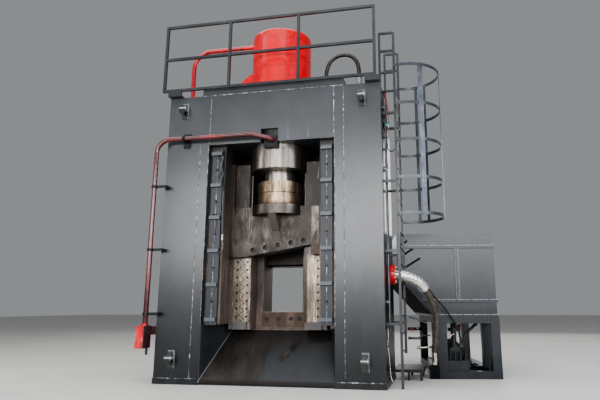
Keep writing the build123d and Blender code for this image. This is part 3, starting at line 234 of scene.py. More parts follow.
def unitWearAndPaintedLight(tree, where, axes):
    # Painted shade on ridge fronts, the tank's left end, the slope, the stand's inside and the tank's foot; dark
    # handles;
    # painted highlights along the ridges and the upright rib; a bright broken line along the band.
    ownAxes = unitAxes(tree, where)
    # Painted shade on the fronts of the ridges.
    ridges = together(rampMask(ownAxes, "Y", 0.004, -0.004, 0.9), rampMask(axes, "Z", 1.15, 1.2))
    handles = together(rampMask(ownAxes, "Y", -0.018, -0.022, 0.95), rampMask(axes, "Z", 1.15, 1.2))
    # Painted shade low on the tank's left end.
    underShade = together(rampMask(ownAxes, "X", -1.05, -1.35, 0.9), rampMask(axes, "Z", 1.7, 1.05))
    # Painted shade on the sloping underside.
    slope = rampMask(slopeDepth(tree, ownAxes), 0, 0.012, 0.004)
    slope = together(slope, rampMask(axes, "Z", 1.135, 1.145))
    # Painted shade inside the stand.
    insideShade = together(rampMask(ownAxes, "Y", 0.2, 0.6, 0.75), rampMask(axes, "Z", 1.16, 1.02))
    streaks = cloudMask(where, 7.0, 0.55, 0.75, 0.35, (1, 1, 0.12))
    # Painted shade round the tank's foot.
    beam = together(rampMask(axes, "Z", 1.34, 1.26, 0.6), rampMask(axes, "Z", 0.9, 1.0))
    chips = cloudMask(where, 30.0, 0.4, 0.52, 0.9)
    # Painted highlights along the top edges of the ridges, broken by chips.
    lines = [
        together(rampMask(axes, "Z", level - 0.011, level - 0.007), ridges, chips,
                 rampMask(axes, "Z", level + 0.004, level))
        for level in tank["ridges"]
    ]
    # Painted highlights along the edges of the upright rib.
    fromRib = add(tree, "Math", {0: (ownAxes, "X"), 1: tank["rib"]}, operation="ADD")
    fromRib = add(tree, "Math", {0: fromRib}, operation="ABSOLUTE")
    ribEdgeHighlight = rampMask(fromRib, 0, 0.022, 0.026, 0.8)
    ribEdgeHighlight = together(ribEdgeHighlight, windowMask(axes, (None, None, 1.48), (None, None, 2.46), 0.01), chips,
                       rampMask(ownAxes, "X", -0.8, -0.79), rampMask(ownAxes, "X", -0.72, -0.73),
                       rampMask(ownAxes, "Y", 0.06, 0.04))
    bandEdge = together(rampMask(axes, "Z", 1.18, 1.184), rampMask(axes, "Z", 1.194, 1.19), chips)
    return [(streaks, "#3b4044"), (beam, "#16191c"), (ridges, "#33373b"), (handles, "#07080a"), (underShade, "#0e1012"),
            (slope, "#060708"), (insideShade, "#0f1113"), *((line, "#9a9ea1") for line in [*lines, ribEdgeHighlight, bandEdge])]


def barrelShade(tree, where, axes):
    # Painted shade where the barrel passes into the crown, darker rings half way up, a darker pipe at the left,
    # and the bright clamp on the hose flange.
    rings = add(tree, "TexNoise", {"Vector": add(tree, "CombineXYZ", {2: (axes, "Z")}), "Scale": 16.0,
                                   "Detail": 3.0})
    rings = rampMask(rings, 0, 0.5, 0.66, 0.5)
    turned = together(rings, windowMask(axes, (-0.74, None, 5.72), (0.6, None, 6.08), 0.05))
    rim = together(rampMask(axes, "Z", 6.56, 6.568), rampMask(axes, "Z", 6.592, 6.584, 0.4))
    # Painted shade on the barrel inside the crown.
    notchShade = together(rampMask(axes, "Z", 5.42, 5.3), rampMask(axes, "X", 1.4, 1.2))
    oiled = together(rampMask(axes, "X", -0.8, -0.86, 0.75), cloudMask(where, 4.0, 0.2, 0.6))
    clamp = windowMask(axes, (2.236, None, 1.5), (2.4, 0.3, 2.3), 0.003)
    patches = cloudMask(where, 2.6, 0.58, 0.74, 0.12, (1, 1, 0.4), 2.0)
    return [(patches, "#9a1216"), (turned, "#8c0d12"), (rim, "#8c0d12"), (oiled, "#6d0d12"), (notchShade, "#0c0b0b"),
            (clamp, "#b9b5ac")]


def valveShade(tree, where, axes):
    # Dark behind the red cap, painted shade on the cap's right side, pale upright streaks as painted highlights.
    return [
        (rampMask(axes, "Y", -0.955, -0.945), "#1a1213"),
        # Painted shade on the right side.
        (together(rampMask(axes, "X", -2.206, -2.196), rampMask(axes, "Z", 1.05, 1.0)), "#35141a"),
        # Painted highlights as pale upright streaks.
        (cloudMask(where, 14.0, 0.6, 0.72, 0.5, (1, 1, 0.2)), "#f0c4bd"),
    ]


def slideWearAndPaintedLight(tree, where, axes):
    # Greasy smears, scratches and bright spots on the plate, a polished band down the right side, painted light
    # on the gusset, and painted shade at the lip, in the pocket and at the rear.
    worn = cloudMask(where, 11.0, 0.38, 0.6, 0.85, (1, 1, 0.25))
    band = together(windowMask(axes, (0.7, None, 2.5), (0.835, None, 3.2), 0.012), worn)
    speckle = cloudMask(where, 34.0, 0.63, 0.68, 0.8, (1, 1, 0.8))
    marks = together(speckle, windowMask(axes, (-0.7, None, 2.33), (-0.4, None, 2.46), 0.06))
    spatter = cloudMask(where, 30.0, 0.66, 0.7, 0.8, (1, 1, 0.8))
    spots = together(spatter, windowMask(axes, (-0.15, None, 2.52), (0.25, None, 2.7), 0.08))
    scratches = cloudMask(where, 26.0, 0.64, 0.7, 0.45, (1, 1, 0.08), 3.0, (0, 0.7, 0))
    smears = cloudMask(where, 4.0, 0.5, 0.7, 0.65, (1.4, 1, 0.5), 6.0, (0, 0.35, 0))
    lip = rampMask(axes, "Z", 2.45, 2.27, 0.45)
    arms = rampMask(axes, "Z", 3.18, 3.26, 0.45)
    right = rampMask(axes, "X", 0.1, 0.6, 0.65)
    heel = together(rampMask(axes, "X", 0.64, 0.66), rampMask(axes, "Z", 2.5, 2.46, 0.8))
    # Painted light on the gusset's front.
    gussetLight = windowMask(axes, (-0.085, None, 2.6), (0.085, -0.325, 3.1), 0.003)
    sideways = add(tree, "Math", {0: (axes, "X")}, operation="ABSOLUTE")
    pocket = together(rampMask(axes, "Z", 3.215, 3.23), rampMask(sideways, 0, 0.58, 0.574, 0.95))
    rear = rampMask(axes, "Y", 0.3, 0.34, 0.85)
    return [(smears, "#66615d"), (right, "#33302e"), (lip, "#2f2b29"), (arms, "#2c2927"), (scratches, "#8e8983"),
            (band, "#80756e"), (heel, "#3f3530"), (marks, "#bdb8b0"), (spots, "#d0cbc3"), (gussetLight, "#6f6862"),
            (pocket, "#120f0e"), (rear, "#15120f")]


# Marks on the liners, in metres: screw seats and the zigzag groove between them.
linerMarks = {"firstRow": 1.16, "pitch": 0.146, "columns": (0.595, 0.795), "holeRadius": 0.025,
              "zigzagFrom": 0.64, "zigzagWidth": 0.11, "lineHalf": 0.009}


def linerGreaseAndShade(tree, where, axes):
    # Black grease round the screw seats and along the zigzag groove, thin yellow streaks between them.
    # Distance to the nearest seat comes from a pingpong over the rows, the zigzag is a triangle wave over Z.
    marks = linerMarks
    sideways = add(tree, "Math", {0: (axes, "X")}, operation="ABSOLUTE")
    rows = add(tree, "Math", {0: (axes, "Z"), 1: marks["firstRow"]}, operation="SUBTRACT")
    steps = add(tree, "Math", {0: rows, 1: marks["pitch"]}, operation="DIVIDE")
    away = add(tree, "Math", {0: add(tree, "Math", {0: steps, 1: 0.5}, operation="PINGPONG"), 1: marks["pitch"]},
               operation="MULTIPLY")
    result = []
    for column in marks["columns"]:
        across = add(tree, "Math", {0: sideways, 1: column}, operation="SUBTRACT")
        place = add(tree, "CombineXYZ", {0: across, 1: away})
        distance = add(tree, "VectorMath", {0: place}, operation="LENGTH")
        seat = rampMask(distance, 1, marks["holeRadius"], marks["holeRadius"] - 0.004, 0.95)
        if column == marks["columns"][0]:
            seat = together(seat, rampMask(axes, "X", 0.01, -0.01))
        result.append((seat, "#0b0806"))
    halfSteps = add(tree, "Math", {0: add(tree, "Math", {0: steps, 1: 2.0}, operation="MULTIPLY"), 1: 0.5},
                    operation="ADD")
    wave = add(tree, "Math", {0: halfSteps, 1: 1.0}, operation="PINGPONG")
    middle = add(tree, "Math", {0: wave, 1: marks["zigzagWidth"], 2: marks["zigzagFrom"]}, operation="MULTIPLY_ADD")
    offset = add(tree, "Math", {0: add(tree, "Math", {0: sideways, 1: middle}, operation="SUBTRACT")},
                 operation="ABSOLUTE")
    line = rampMask(offset, 0, marks["lineHalf"] + 0.003, marks["lineHalf"] - 0.003, 0.95)
    line = together(line, rampMask(axes, "X", 0.01, -0.01))
    # Painted shade on the liners above 2.2 m, where they lie behind the slide.
    behindSlideShade = rampMask(axes, "Z", 2.2, 2.36, 0.9)
    inner = windowMask(axes, (0.4, None, None), (0.585, None, None), 0.006)
    streaks = cloudMask(where, 24.0, 0.55, 0.66, 0.6, (1, 1, 0.1), 4.0)
    patchy = cloudMask(where, 7.0, 0.5, 0.66, 0.6, (1, 1, 0.6), 6.0)
    speckle = cloudMask(where, 60.0, 0.56, 0.66, 0.5, (1, 1, 0.8), 3.0)
    return [(patchy, "#5e5244"), (streaks, "#c8bba5"), (speckle, "#4a4036"), (inner, "#2b211b"), (line, "#0c0806"),
            *result, (behindSlideShade, "#1a1512")]


def wallGreaseAndShade(tree, where, axes):
    # Painted shade deeper towards the top, brown grease lines that run down, grey paint on the stop blocks at the
    # foot.
    # Painted shade towards the top.
    top = rampMask(axes, "Z", 2.1, 3.4, 0.9)
    lines = cloudMask(where, 22.0, 0.58, 0.68, 0.6, (1, 1, 0.05), 4.0)
    dots = cloudMask(where, 40.0, 0.67, 0.71, 0.7, (1, 1, 1), 2.0)
    stops = together(rampMask(axes, "Z", 1.07, 1.06, 0.8), rampMask(axes, "Y", -0.16, -0.17))
    return [(lines, "#8a705c"), (dots, "#b9aea4"), (top, "#232323"), (stops, "#4b4c4f")]


def stripEdge(tree, where, axes):
    # Rubbed bright edges of the guide strips, broken by grease.
    sideways = add(tree, "Math", {0: (axes, "X")}, operation="ABSOLUTE")
    near = rampMask(sideways, 0, 0.925, 0.94, 0.9)
    return [(together(near, cloudMask(where, 8.0, 0.36, 0.5, 1.0, (1, 1, 0.2))), "#b3a095")]


def ringLines(tree, where, axes):
    # Dark joint half way up the ring, dust and oil specks, an oily lower rim.
    joint = together(rampMask(axes, "Z", 3.462, 3.467), rampMask(axes, "Z", 3.478, 3.473))
    specks = cloudMask(where, 55.0, 0.6, 0.66, 0.75, (1, 1, 0.8), 2.0)
    rim = rampMask(axes, "Z", 3.32, 3.26, 0.6)
    return [(specks, "#3f3226"), (rim, "#4a3c2f"), (joint, "#140f0b")]


def glandBands(tree, where, axes):
    # Upright smears of dark oil, and painted shade darker towards both sides of the cylinder.
    smears = cloudMask(where, 15.0, 0.46, 0.6, 0.75, (1, 1, 0.02), 3.0)
    sides = add(tree, "Math", {0: (axes, "X")}, operation="ABSOLUTE")
    # Painted shade towards both sides.
    edge = rampMask(sides, 0, 0.2, 0.5, 0.75)
    return [(smears, "#5a554f"), (edge, "#3f3b39")]


def bladeRust(tree, where, axes):
    # A thin bright cutting edge along the top of the lower blade, dark grease round the bolts.
    edge = together(rampMask(axes, "Z", 1.236, 1.243, 0.35), rampMask(axes, "Z", 1.3, 1.25))
    stains = cloudMask(where, 8.0, 0.48, 0.64, 0.6, (1, 1, 0.5))
    return [(stains, "#2f2520"), (edge, "#b9a898")]


# Left edge of the chute: X = slope * Y + start, in metres.
chuteEdge = {"slope": 0.2722, "start": -1.0224}


def chuteWear(tree, where, axes):
    # Rubbed plate: brown oil on the left, blue scale on the right of a slanting border, one round stain,
    # fine slanting rub marks and a bright line along the left edge.
    slant = add(tree, "Mapping", {"Vector": where, "Rotation": (0, 0, 0.1)})
    slantAxes = add(tree, "SeparateXYZ", {0: slant})
    ragged = cloudMask(where, 5.0, 0.3, 0.7, 0.1, (1, 0.3, 0.3))
    border = add(tree, "Math", {0: (slantAxes, "X"), 1: ragged}, operation="SUBTRACT")
    right = rampMask(border, 0, -0.12, -0.07, 0.75)
    right = together(right, rampMask(axes, "Z", 0.86, 0.5))
    upper = rampMask(axes, "Z", 0.6, 0.88, 0.6)
    rubs = cloudMask(where, 26.0, 0.58, 0.68, 0.05, (1, 0.04, 0.04), 3.0, (0, 0, 0.5))
    seam = add(tree, "Mapping", {"Vector": where, "Rotation": (0, 0, 0.53), "Location": (0.375, 0, 0)})
    seamAxes = add(tree, "SeparateXYZ", {0: seam})
    seamLine = together(
        rampMask(seamAxes, "X", -0.012, -0.004), rampMask(seamAxes, "X", 0.012, 0.004, 0.7),
        rampMask(axes, "Z", 0.46, 0.42),
    )
    # The stain runs up to the right: a window turned in the plate, brown at its rim and tan within.
    turned = add(tree, "Mapping", {"Vector": where, "Location": (-0.02, 0.385, 0), "Rotation": (0, 0, -0.86)})
    turnedAxes = add(tree, "SeparateXYZ", {0: turned})
    wet = cloudMask(where, 9.0, 0.3, 0.52, 0.9, (1.0, 0.7, 0.7))
    stain = together(windowMask(turnedAxes, (-0.23, -0.06, None), (0.23, 0.06, None), 0.045), wet)
    dried = together(windowMask(turnedAxes, (-0.16, -0.02, None), (-0.02, 0.035, None), 0.03), wet)
    # The plate's left edge runs from the lip's corner to the narrower top, so the bright line is laid along it.
    leftEdge = add(tree, "Math", {0: (axes, "Y"), 1: chuteEdge["slope"], 2: chuteEdge["start"]},
                   operation="MULTIPLY_ADD")
    fromEdge = add(tree, "Math", {0: (axes, "X"), 1: leftEdge}, operation="SUBTRACT")
    edge = rampMask(fromEdge, 0, 0.022, 0.012, 0.85)
    lip = rampMask(axes, "Z", 0.105, 0.085, 0.8)
    return [(right, "#34383c"), (upper, "#26221f"), (rubs, "#76746f"), (seamLine, "#171412"), (stain, "#1b120d"),
            (dried, "#4b4036"), (lip, "#1c1512"), (edge, "#8f908e")]


def weldDusk(tree, where, axes):
    # The seams go darker in patches towards the floor, painted shade like the columns' foot.
    grime = together(rampMask(axes, "Z", 1.7, 0.3, 0.7), cloudMask(where, 9.0, 0.4, 0.5))
    return [(grime, "#24282b")]


def hoseBlock(tree, where, axes):
    # The foot block of the hose's end fitting is painted dark.
    return [(rampMask(axes, "Z", 0.262, 0.254), "#17191c")]


def foilRings(tree, where, axes):
    # Warm brown reflections in the folds.
    return [(cloudMask(where, 22.0, 0.56, 0.68, 0.55, (2.2, 1, 0.6)), "#7d7266")]


slate = [(0.3, "#202327"), (0.52, "#292d31"), (0.74, "#34383d")]
brownSteel = [(0.28, "#1d1a19"), (0.46, "#302c2a"), (0.6, "#433e3a"), (0.8, "#5e5853")]
# "patches" and "grain" are noise cells per metre, so 38 is a cell of 26 mm. Real grain on paint, steel and rubber
# is under 1 mm, too fine to show at this distance, and is drawn 7 to 45 mm coarse so that it can be seen.
surfaces = {
    # Gantry: two-pack paint sprayed over blasted plate: smooth dark grey with a broad soft sheen.
    "paint": finish("satinTwoPackPaintSprayed", {
        "stops": slate, "patches": 1.1, "grain": 38.0, "roughness": (0.3, 0.4), "bump": 0.08,
        "metallic": 0.1, "coat": 0.45, "coatRoughness": 0.24, "ior": 1.6, "gloss": floorGrime}, gantryWearAndShade),
    # Lugs: the same paint, dark grey, with painted highlights on the rim, top and over the pin, painted shade under
    # it.
    "lugPaint": finish("lugPaintWithPaintedHighlights", {
        "stops": slate, "patches": 4.0, "grain": 60.0, "roughness": (0.3, 0.4), "bump": 0.1, "metallic": 0.1,
        "coat": 0.2, "coatRoughness": 0.2}, lugHighlightsAndShade),
    # Power unit: the same paint in a thinner coat: the same grey, flatter, with less sheen.
    "unitPaint": finish("satinTankPaintSprayed", {
        "stops": [(0.3, "#1e2124"), (0.52, "#26292d"), (0.74, "#303438")], "patches": 1.6, "grain": 30.0,
        "roughness": (0.3, 0.42), "bump": 0.1, "metallic": 0.12, "coat": 0.22, "coatRoughness": 0.26,
        "ior": 1.5, "gloss": unitGrime}, unitWearAndPaintedLight),
    # Guide bars and cheeks: paint put on by brush: a little bluer and duller.
    "barPaint": finish("brushedBarPaint", {
        "stops": [(0.3, "#1b1f23"), (0.55, "#24282d"), (0.8, "#30353a")], "patches": 3.0, "grain": 50.0,
        "roughness": (0.38, 0.52), "bump": 0.12, "metallic": 0.1, "coat": 0.08, "coatRoughness": 0.35}, barGrimeAndHighlight),
    # Railing and ladder: paint brushed on bar and tube: uneven grey with soft highlights.
    "railPaint": finish("brushedRailPaint", {
        "stops": [(0.3, "#1b1e21"), (0.6, "#282c30"), (0.8, "#3c4146")], "patches": 3.0, "grain": 30.0,
        "roughness": (0.3, 0.44), "bump": 0.1, "metallic": 0.2, "coat": 0.12, "coatRoughness": 0.25}),
    # Cage: thin paint on galvanised flat bar: paler than the ladder, with metal showing through.
    "cagePaint": finish("thinPaintOnGalvanisedBar", {
        "stops": [(0.3, "#2d3135"), (0.55, "#464b50"), (0.8, "#6f7478")], "patches": 5.0, "grain": 30.0,
        "roughness": (0.26, 0.4), "bump": 0.1, "metallic": 0.45}),
    # Cylinder and flange: sprayed enamel: strong even red with a clear gloss.
    "redPaint": finish("glossRedEnamelSprayed", {
        "stops": [(0.3, "#b20b12"), (0.55, "#c60f17"), (0.8, "#d1181d")], "patches": 1.6, "grain": 22.0,
        "stretch": (1, 1, 0.4), "roughness": (0.24, 0.36), "bump": 0.04, "metallic": 0.0, "coat": 0.2,
        "coatRoughness": 0.12}, barrelShade),
    # Valve: sprayed enamel over a rough casting: blotchy red with small sharp highlights.
    "valveRed": finish("glossRedOverCasting", {
        "stops": [(0.3, "#8e0d12"), (0.55, "#b01419"), (0.8, "#c9262a")], "patches": 5.0, "grain": 40.0,
        "roughness": (0.22, 0.36), "bump": 0.15, "metallic": 0.0, "coat": 0.5, "coatRoughness": 0.15}, valveShade),
    # Return pipe: red primer under an oil film: near black in patches, with a wet gloss.
    "pipePaint": finish("oiledRedPrimerOnPipe", {
        "stops": [(0.3, "#2c1011"), (0.5, "#4a1719"), (0.66, "#6a2021"), (0.8, "#a02a25")], "patches": 1.4,
        "stretch": (1, 1, 0.6), "grain": 30.0, "roughness": (0.16, 0.3), "bump": 0.05, "metallic": 0.2,
        "coat": 0.5, "coatRoughness": 0.1}),
    # Slide: planed plate with old oil: rubbed grey over brown, half glossy.
    "wornSteel": finish("oiledPlanedPlate", {
        "stops": brownSteel, "patches": 3.2, "stretch": (1, 1, 0.7), "grain": 46.0, "roughness": (0.34, 0.54),
        "bump": 0.25, "metallic": 0.75}, slideWearAndPaintedLight),
    # Thrust disc: forged steel under mill scale: mottled from near black to pale grey.
    "discSteel": finish("forgedDiscWithMillScale", {
        "stops": [(0.3, "#2c2a28"), (0.5, "#48443f"), (0.7, "#6a645f"), (0.85, "#8d867f")], "patches": 5.0,
        "stretch": (1, 1, 0.4), "grain": 60.0, "roughness": (0.28, 0.46), "bump": 0.18, "metallic": 0.85}),
    # Walls behind and beside the slide: rolled plate under grease: brown and dull, with painted shade near the top.
    "wallSteel": finish("greasyPlateWithPaintedShade", {
        "stops": [(0.3, "#38322f"), (0.5, "#574d47"), (0.7, "#74685f"), (0.85, "#8f8175")], "patches": 3.2,
        "stretch": (1, 1, 0.4), "grain": 46.0, "roughness": (0.4, 0.62), "bump": 0.22, "metallic": 0.35}, wallGreaseAndShade),
    # Liners: ground wear plate under a grease film: warm yellow grey with a wet sheen.
    "linerSteel": finish("greasedGroundWearPlate", {
        "stops": [(0.25, "#41382f"), (0.45, "#5c5249"), (0.6, "#776b5f"), (0.8, "#9d9080")], "patches": 5.0,
        "stretch": (1, 1, 0.35), "grain": 60.0, "roughness": (0.22, 0.42), "bump": 0.12, "metallic": 0.7,
        "coat": 0.3, "coatRoughness": 0.2}, linerGreaseAndShade),
    # Blades: hardened and ground tool steel with flash rust: brown, half matt.
    "bladeSteel": finish("flashRustedToolSteel", {
        "stops": [(0.28, "#2b2320"), (0.5, "#44372f"), (0.66, "#5c4b42"), (0.85, "#7f6d61")], "patches": 5.0,
        "stretch": (1, 1, 0.25), "grain": 70.0, "roughness": (0.34, 0.55), "bump": 0.15, "metallic": 0.7},
        bladeRust),
    # Gland ring and ram: turned and polished steel: bright, with upright wipes of oil.
    "polished": finish("turnedPolishedSteel", {
        "stops": [(0.3, "#736c66"), (0.5, "#98918a"), (0.7, "#beb8af")], "patches": 7.0, "stretch": (1, 1, 0.06),
        "grain": 80.0, "roughness": (0.22, 0.38), "bump": 0.06, "metallic": 0.88}, glandBands),
    # Slide strips: planed bronze, worn: dark brown with light rubbed edges.
    "bronze": finish("wornGuideBronze", {
        "stops": [(0.3, "#2e2620"), (0.5, "#4f4137"), (0.66, "#766253"), (0.85, "#ab9480")], "patches": 6.0,
        "stretch": (1, 1, 0.15), "grain": 70.0, "roughness": (0.26, 0.46), "bump": 0.1, "metallic": 0.9},
        stripEdge),
    # Split ring: turned bronze under oil and dust: pale and freckled.
    "speckled": finish("speckledBronze", {
        "stops": [(0.3, "#4a3d31"), (0.5, "#7d6c5a"), (0.66, "#a8957d"), (0.85, "#d6c4aa")], "patches": 14.0,
        "stretch": (1, 1, 0.22), "grain": 80.0, "roughness": (0.26, 0.44), "bump": 0.12, "metallic": 0.85},
        ringLines),
    # Bolts, clamps and small fittings: blackened steel: almost black with a weak metal sheen.
    "darkSteel": finish("blackenedSteel", {
        "stops": [(0.3, "#141517"), (0.6, "#222427"), (0.85, "#35383b")], "patches": 8.0, "grain": 70.0,
        "roughness": (0.35, 0.55), "bump": 0.12, "metallic": 0.6}),
    # Motor and pump: paint over a sand casting: pebbled, dark and matt.
    "castMetal": finish("paintedPumpCasting", {
        "stops": [(0.3, "#16181a"), (0.6, "#24272a"), (0.85, "#383c40")], "patches": 9.0, "grain": 90.0,
        "roughness": (0.4, 0.6), "bump": 0.3, "metallic": 0.3}),
    # Hose fittings: turned steel with zinc plate: pale and bright.
    "plated": finish("zincPlatedFitting", {
        "stops": [(0.3, "#8d8a82"), (0.6, "#b9b6ae"), (0.85, "#dad8d2")], "patches": 12.0, "grain": 90.0,
        "roughness": (0.2, 0.36), "bump": 0.08, "metallic": 1.0}, hoseBlock),
    # Side pipes: drawn steel gone dull: mid grey with blurred highlights.
    "dulledSteel": finish("dulledSteelPipe", {
        "stops": [(0.3, "#45464a"), (0.6, "#6b6c6e"), (0.85, "#97978f")], "patches": 8.0, "grain": 70.0,
        "roughness": (0.28, 0.44), "bump": 0.1, "metallic": 0.8}),
    # Big hose: wrapped rubber cover with dust in its marks: rough matt brown.
    "hoseCover": finish("wrapMarkedBrownHose", {
        "stops": [(0.3, "#2a2724"), (0.5, "#443f39"), (0.7, "#675f56")], "patches": 14.0, "grain": 120.0,
        "roughness": (0.38, 0.56), "bump": 0.45, "metallic": 0.05}),
    # Thin hoses: smooth extruded rubber: black with a narrow soft highlight.
    "blackHose": finish("blackHoseCover", {
        "stops": [(0.3, "#0c0b0b"), (0.6, "#171514"), (0.85, "#2a2726")], "patches": 16.0, "grain": 140.0,
        "roughness": (0.32, 0.46), "bump": 0.3, "metallic": 0.05}),
    # Sleeve: foil wrapped by hand round glass cloth: bright crumpled facets.
    "foil": finish("crumpledFoilWrap", {
        "stops": [(0.3, "#b9b5ae"), (0.5, "#dad7d1"), (0.75, "#f2f0ec")], "patches": 16.0, "grain": 34.0,
        "roughness": (0.18, 0.38), "bump": 0.9, "metallic": 0.85, "depth": 0.009}, foilRings),
    # Weld beads, partly painted over: silvery and dark grey by turns.
    "weld": finish("groundWeldBead", {
        "stops": [(0.38, "#33383c"), (0.54, "#777d82"), (0.68, "#cfd1d2")], "patches": 15.0, "grain": 60.0,
        "roughness": (0.36, 0.52), "bump": 0.3, "metallic": 0.4}, weldDusk),
    # Clips, ties and the lamp's housing: moulded plastic: matt black.
    "black": finish("blackPlasticCover", {
        "stops": [(0.3, "#0b0b0c"), (0.7, "#18191a")], "patches": 9.0, "grain": 60.0, "roughness": (0.35, 0.5),
        "bump": 0.1, "metallic": 0.0}),
    # Control wires: extruded PVC jackets: plain red, and white smudged grey.
    "redWire": finish("redCableJacket", {
        "stops": [(0.3, "#a5222a"), (0.7, "#d23a40")], "patches": 9.0, "grain": 60.0, "roughness": (0.35, 0.5),
        "bump": 0.1, "metallic": 0.0}),
    "whiteWire": finish("whiteCableJacket", {
        "stops": [(0.38, "#5f5b59"), (0.5, "#b5afac"), (0.62, "#e4e0dd")], "patches": 24.0, "grain": 60.0,
        "roughness": (0.35, 0.5), "bump": 0.1, "metallic": 0.0}),
    # Lamp lens: moulded clear plastic, lit: a small green glow with a glossy skin.
    "greenLens": finish("greenSignalLens", {
        "stops": [(0.3, "#06784f"), (0.7, "#12a878")], "patches": 30.0, "grain": 60.0, "roughness": (0.1, 0.2),
        "bump": 0.05, "metallic": 0.0, "coat": 0.8, "glow": ("#19c98c", 0.4)}),
    # Cap: moulded plastic: pale even blue.
    "blueCap": finish("bluePlasticCap", {
        "stops": [(0.3, "#5d7fb8"), (0.7, "#a9c1ea")], "patches": 30.0, "grain": 60.0, "roughness": (0.2, 0.3),
        "bump": 0.05, "metallic": 0.0}),
    # Chute: hot-rolled plate rubbed by scrap: brown black with a dull sheen.
    "chute": finish("rubbedHotRolledPlate", {
        "stops": [(0.3, "#24211f"), (0.48, "#2d2a27"), (0.62, "#383430"), (0.8, "#443f3a")], "patches": 4.0,
        "stretch": (1, 0.35, 0.35), "grain": 50.0, "roughness": (0.3, 0.48), "bump": 0.15, "metallic": 0.5},
        chuteWear),
}

surfaceOf = {
    "paint": ["foot_plates", "left_column", "right_column", "top_beam", "clamp_cylinder"],
    "lugPaint": ["lifting_lugs"],
    "barPaint": ["left_guide_bar", "right_guide_bar", "chute_cheeks"],
    "unitPaint": ["oil_tank", "stand_frame"],
    "railPaint": ["railing", "ladder_stringers", "ladder_rungs", "landing_frames"],
    "cagePaint": ["cage_hoops", "cage_straps"],
    "redPaint": ["cylinder_barrel", "top_pipe", "hose_flange", "valve_lever"],
    "valveRed": ["check_valve"],
    "pipePaint": ["return_pipe"],
    "wornSteel": ["slide_body", "clamp_plate"],
    "discSteel": ["thrust_disc"],
    "wallSteel": ["lower_beam", "window_wall", "left_guide_housing", "right_guide_housing"],
    "linerSteel": ["left_liner", "right_liner"],
    "bladeSteel": ["lower_blade", "upper_blade"],
    "polished": ["gland_ring", "ram", "clamp_rod"],
    "bronze": ["slide_strips"],
    "speckled": ["split_ring"],
    "darkSteel": ["guide_bar_bolts", "lower_blade_bolts", "upper_blade_bolts", "pipe_flange_block", "pipe_clamps",
                  "low_step", "pump_coupling", "valve_manifold"],
    "castMetal": ["pump_motor", "pump_bellhousing", "main_pump", "suction_valve"],
    "plated": ["top_hose_fittings", "hose_end_fitting", "hose_collar"],
    "dulledSteel": ["side_pipes"],
    "blackHose": ["top_hose", "pilot_hose"],
    "hoseCover": ["main_hose"],
    "foil": ["hose_sleeve"],
    "chute": ["chute_plate"],
}
covered = set()
for key, names in surfaceOf.items():
    for name in names:
        mesh = cadNodes[name].data
        mesh.materials.clear()
        mesh.materials.append(surfaces[key])
        covered.add(name)
assert covered == set(cadNodes), covered ^ set(cadNodes)
print("materials done")


def gridFaces(rows, columns):
    # Corner numbers of the quads between rows of points, each row closed on itself.
    r, c = np.arange(rows - 1)[:, None] * columns, np.arange(columns)[None, :]
    following = (c + 1) % columns
    quads = np.stack([r + c, r + following, r + columns + following, r + columns + c], axis=-1)
    return [tuple(quad) for quad in quads.reshape(-1, 4).tolist()]


def sweep(path, profile, size=None, turn=None):
    # Profile carried along a path: point = centre + size * (u * side + v * above), closed at both ends.
    # side is carried on from ring to ring, so the profile doesn't twist; size may differ for each ring.
    path, profile = np.asarray(path, float), np.asarray(profile, float)
    heading = np.gradient(path, axis=0)
    heading /= np.linalg.norm(heading, axis=1)[:, None]
    side = np.cross(heading[0], turn if turn is not None else (0, 0, 1.0))
    if np.linalg.norm(side) < 1e-3:
        side = np.cross(heading[0], (0, 1.0, 0))
    sides = []
    for along in heading:
        side = side - along * np.dot(side, along)
        side = side / np.linalg.norm(side)
        sides.append(side)
    sides = np.array(sides)
    above = np.cross(heading, sides)
    size = np.ones(len(path)) if size is None else np.asarray(size, float)
    size = size if size.ndim == 2 else size[:, None] * np.ones((1, len(profile)))
    points = (path[:, None, :] + (size * profile[:, 0])[..., None] * sides[:, None, :]
              + (size * profile[:, 1])[..., None] * above[:, None, :])
    count = len(profile)
    faces = gridFaces(len(path), count)
    faces.append(tuple(range(count))[::-1])
    faces.append(tuple(range((len(path) - 1) * count, len(path) * count)))
    return points.reshape(-1, 3), faces


def roundProfile(radius, sides=12):
    # Points on a circle.
    angles = np.arange(sides) * 2 * pi / sides
    return radius * np.stack([np.cos(angles), np.sin(angles)], axis=1)


def squareProfile(width, height, power=6.0, sides=24):
    # Points on a superellipse |x/a|^n + |y/b|^n = 1: a rectangle with softened corners.
    angles = (np.arange(sides) + 0.5) * 2 * pi / sides
    c, s = np.cos(angles), np.sin(angles)
    return np.stack([width / 2 * np.sign(c) * np.abs(c) ** (2 / power),
                     height / 2 * np.sign(s) * np.abs(s) ** (2 / power)], axis=1)


def softBar(first, last, width, height, edge=0.006, power=6.0, turn=None):
    # A straight bar with softened corners and ends: the profile shrinks over the last edge length.
    first, last = np.asarray(first, float), np.asarray(last, float)
    length = np.linalg.norm(last - first)
    ends = np.array([0.0, 0.3, 1.0]) * edge / length
    shares = np.concatenate([ends, 1 - ends[::-1]])
    small = 1 - 2 * edge / min(width, height) * np.array([1.0, 0.4, 0.0])
    path = first + (last - first) * shares[:, None]
    return sweep(path, squareProfile(width, height, power), np.concatenate([small, small[::-1]]), turn)


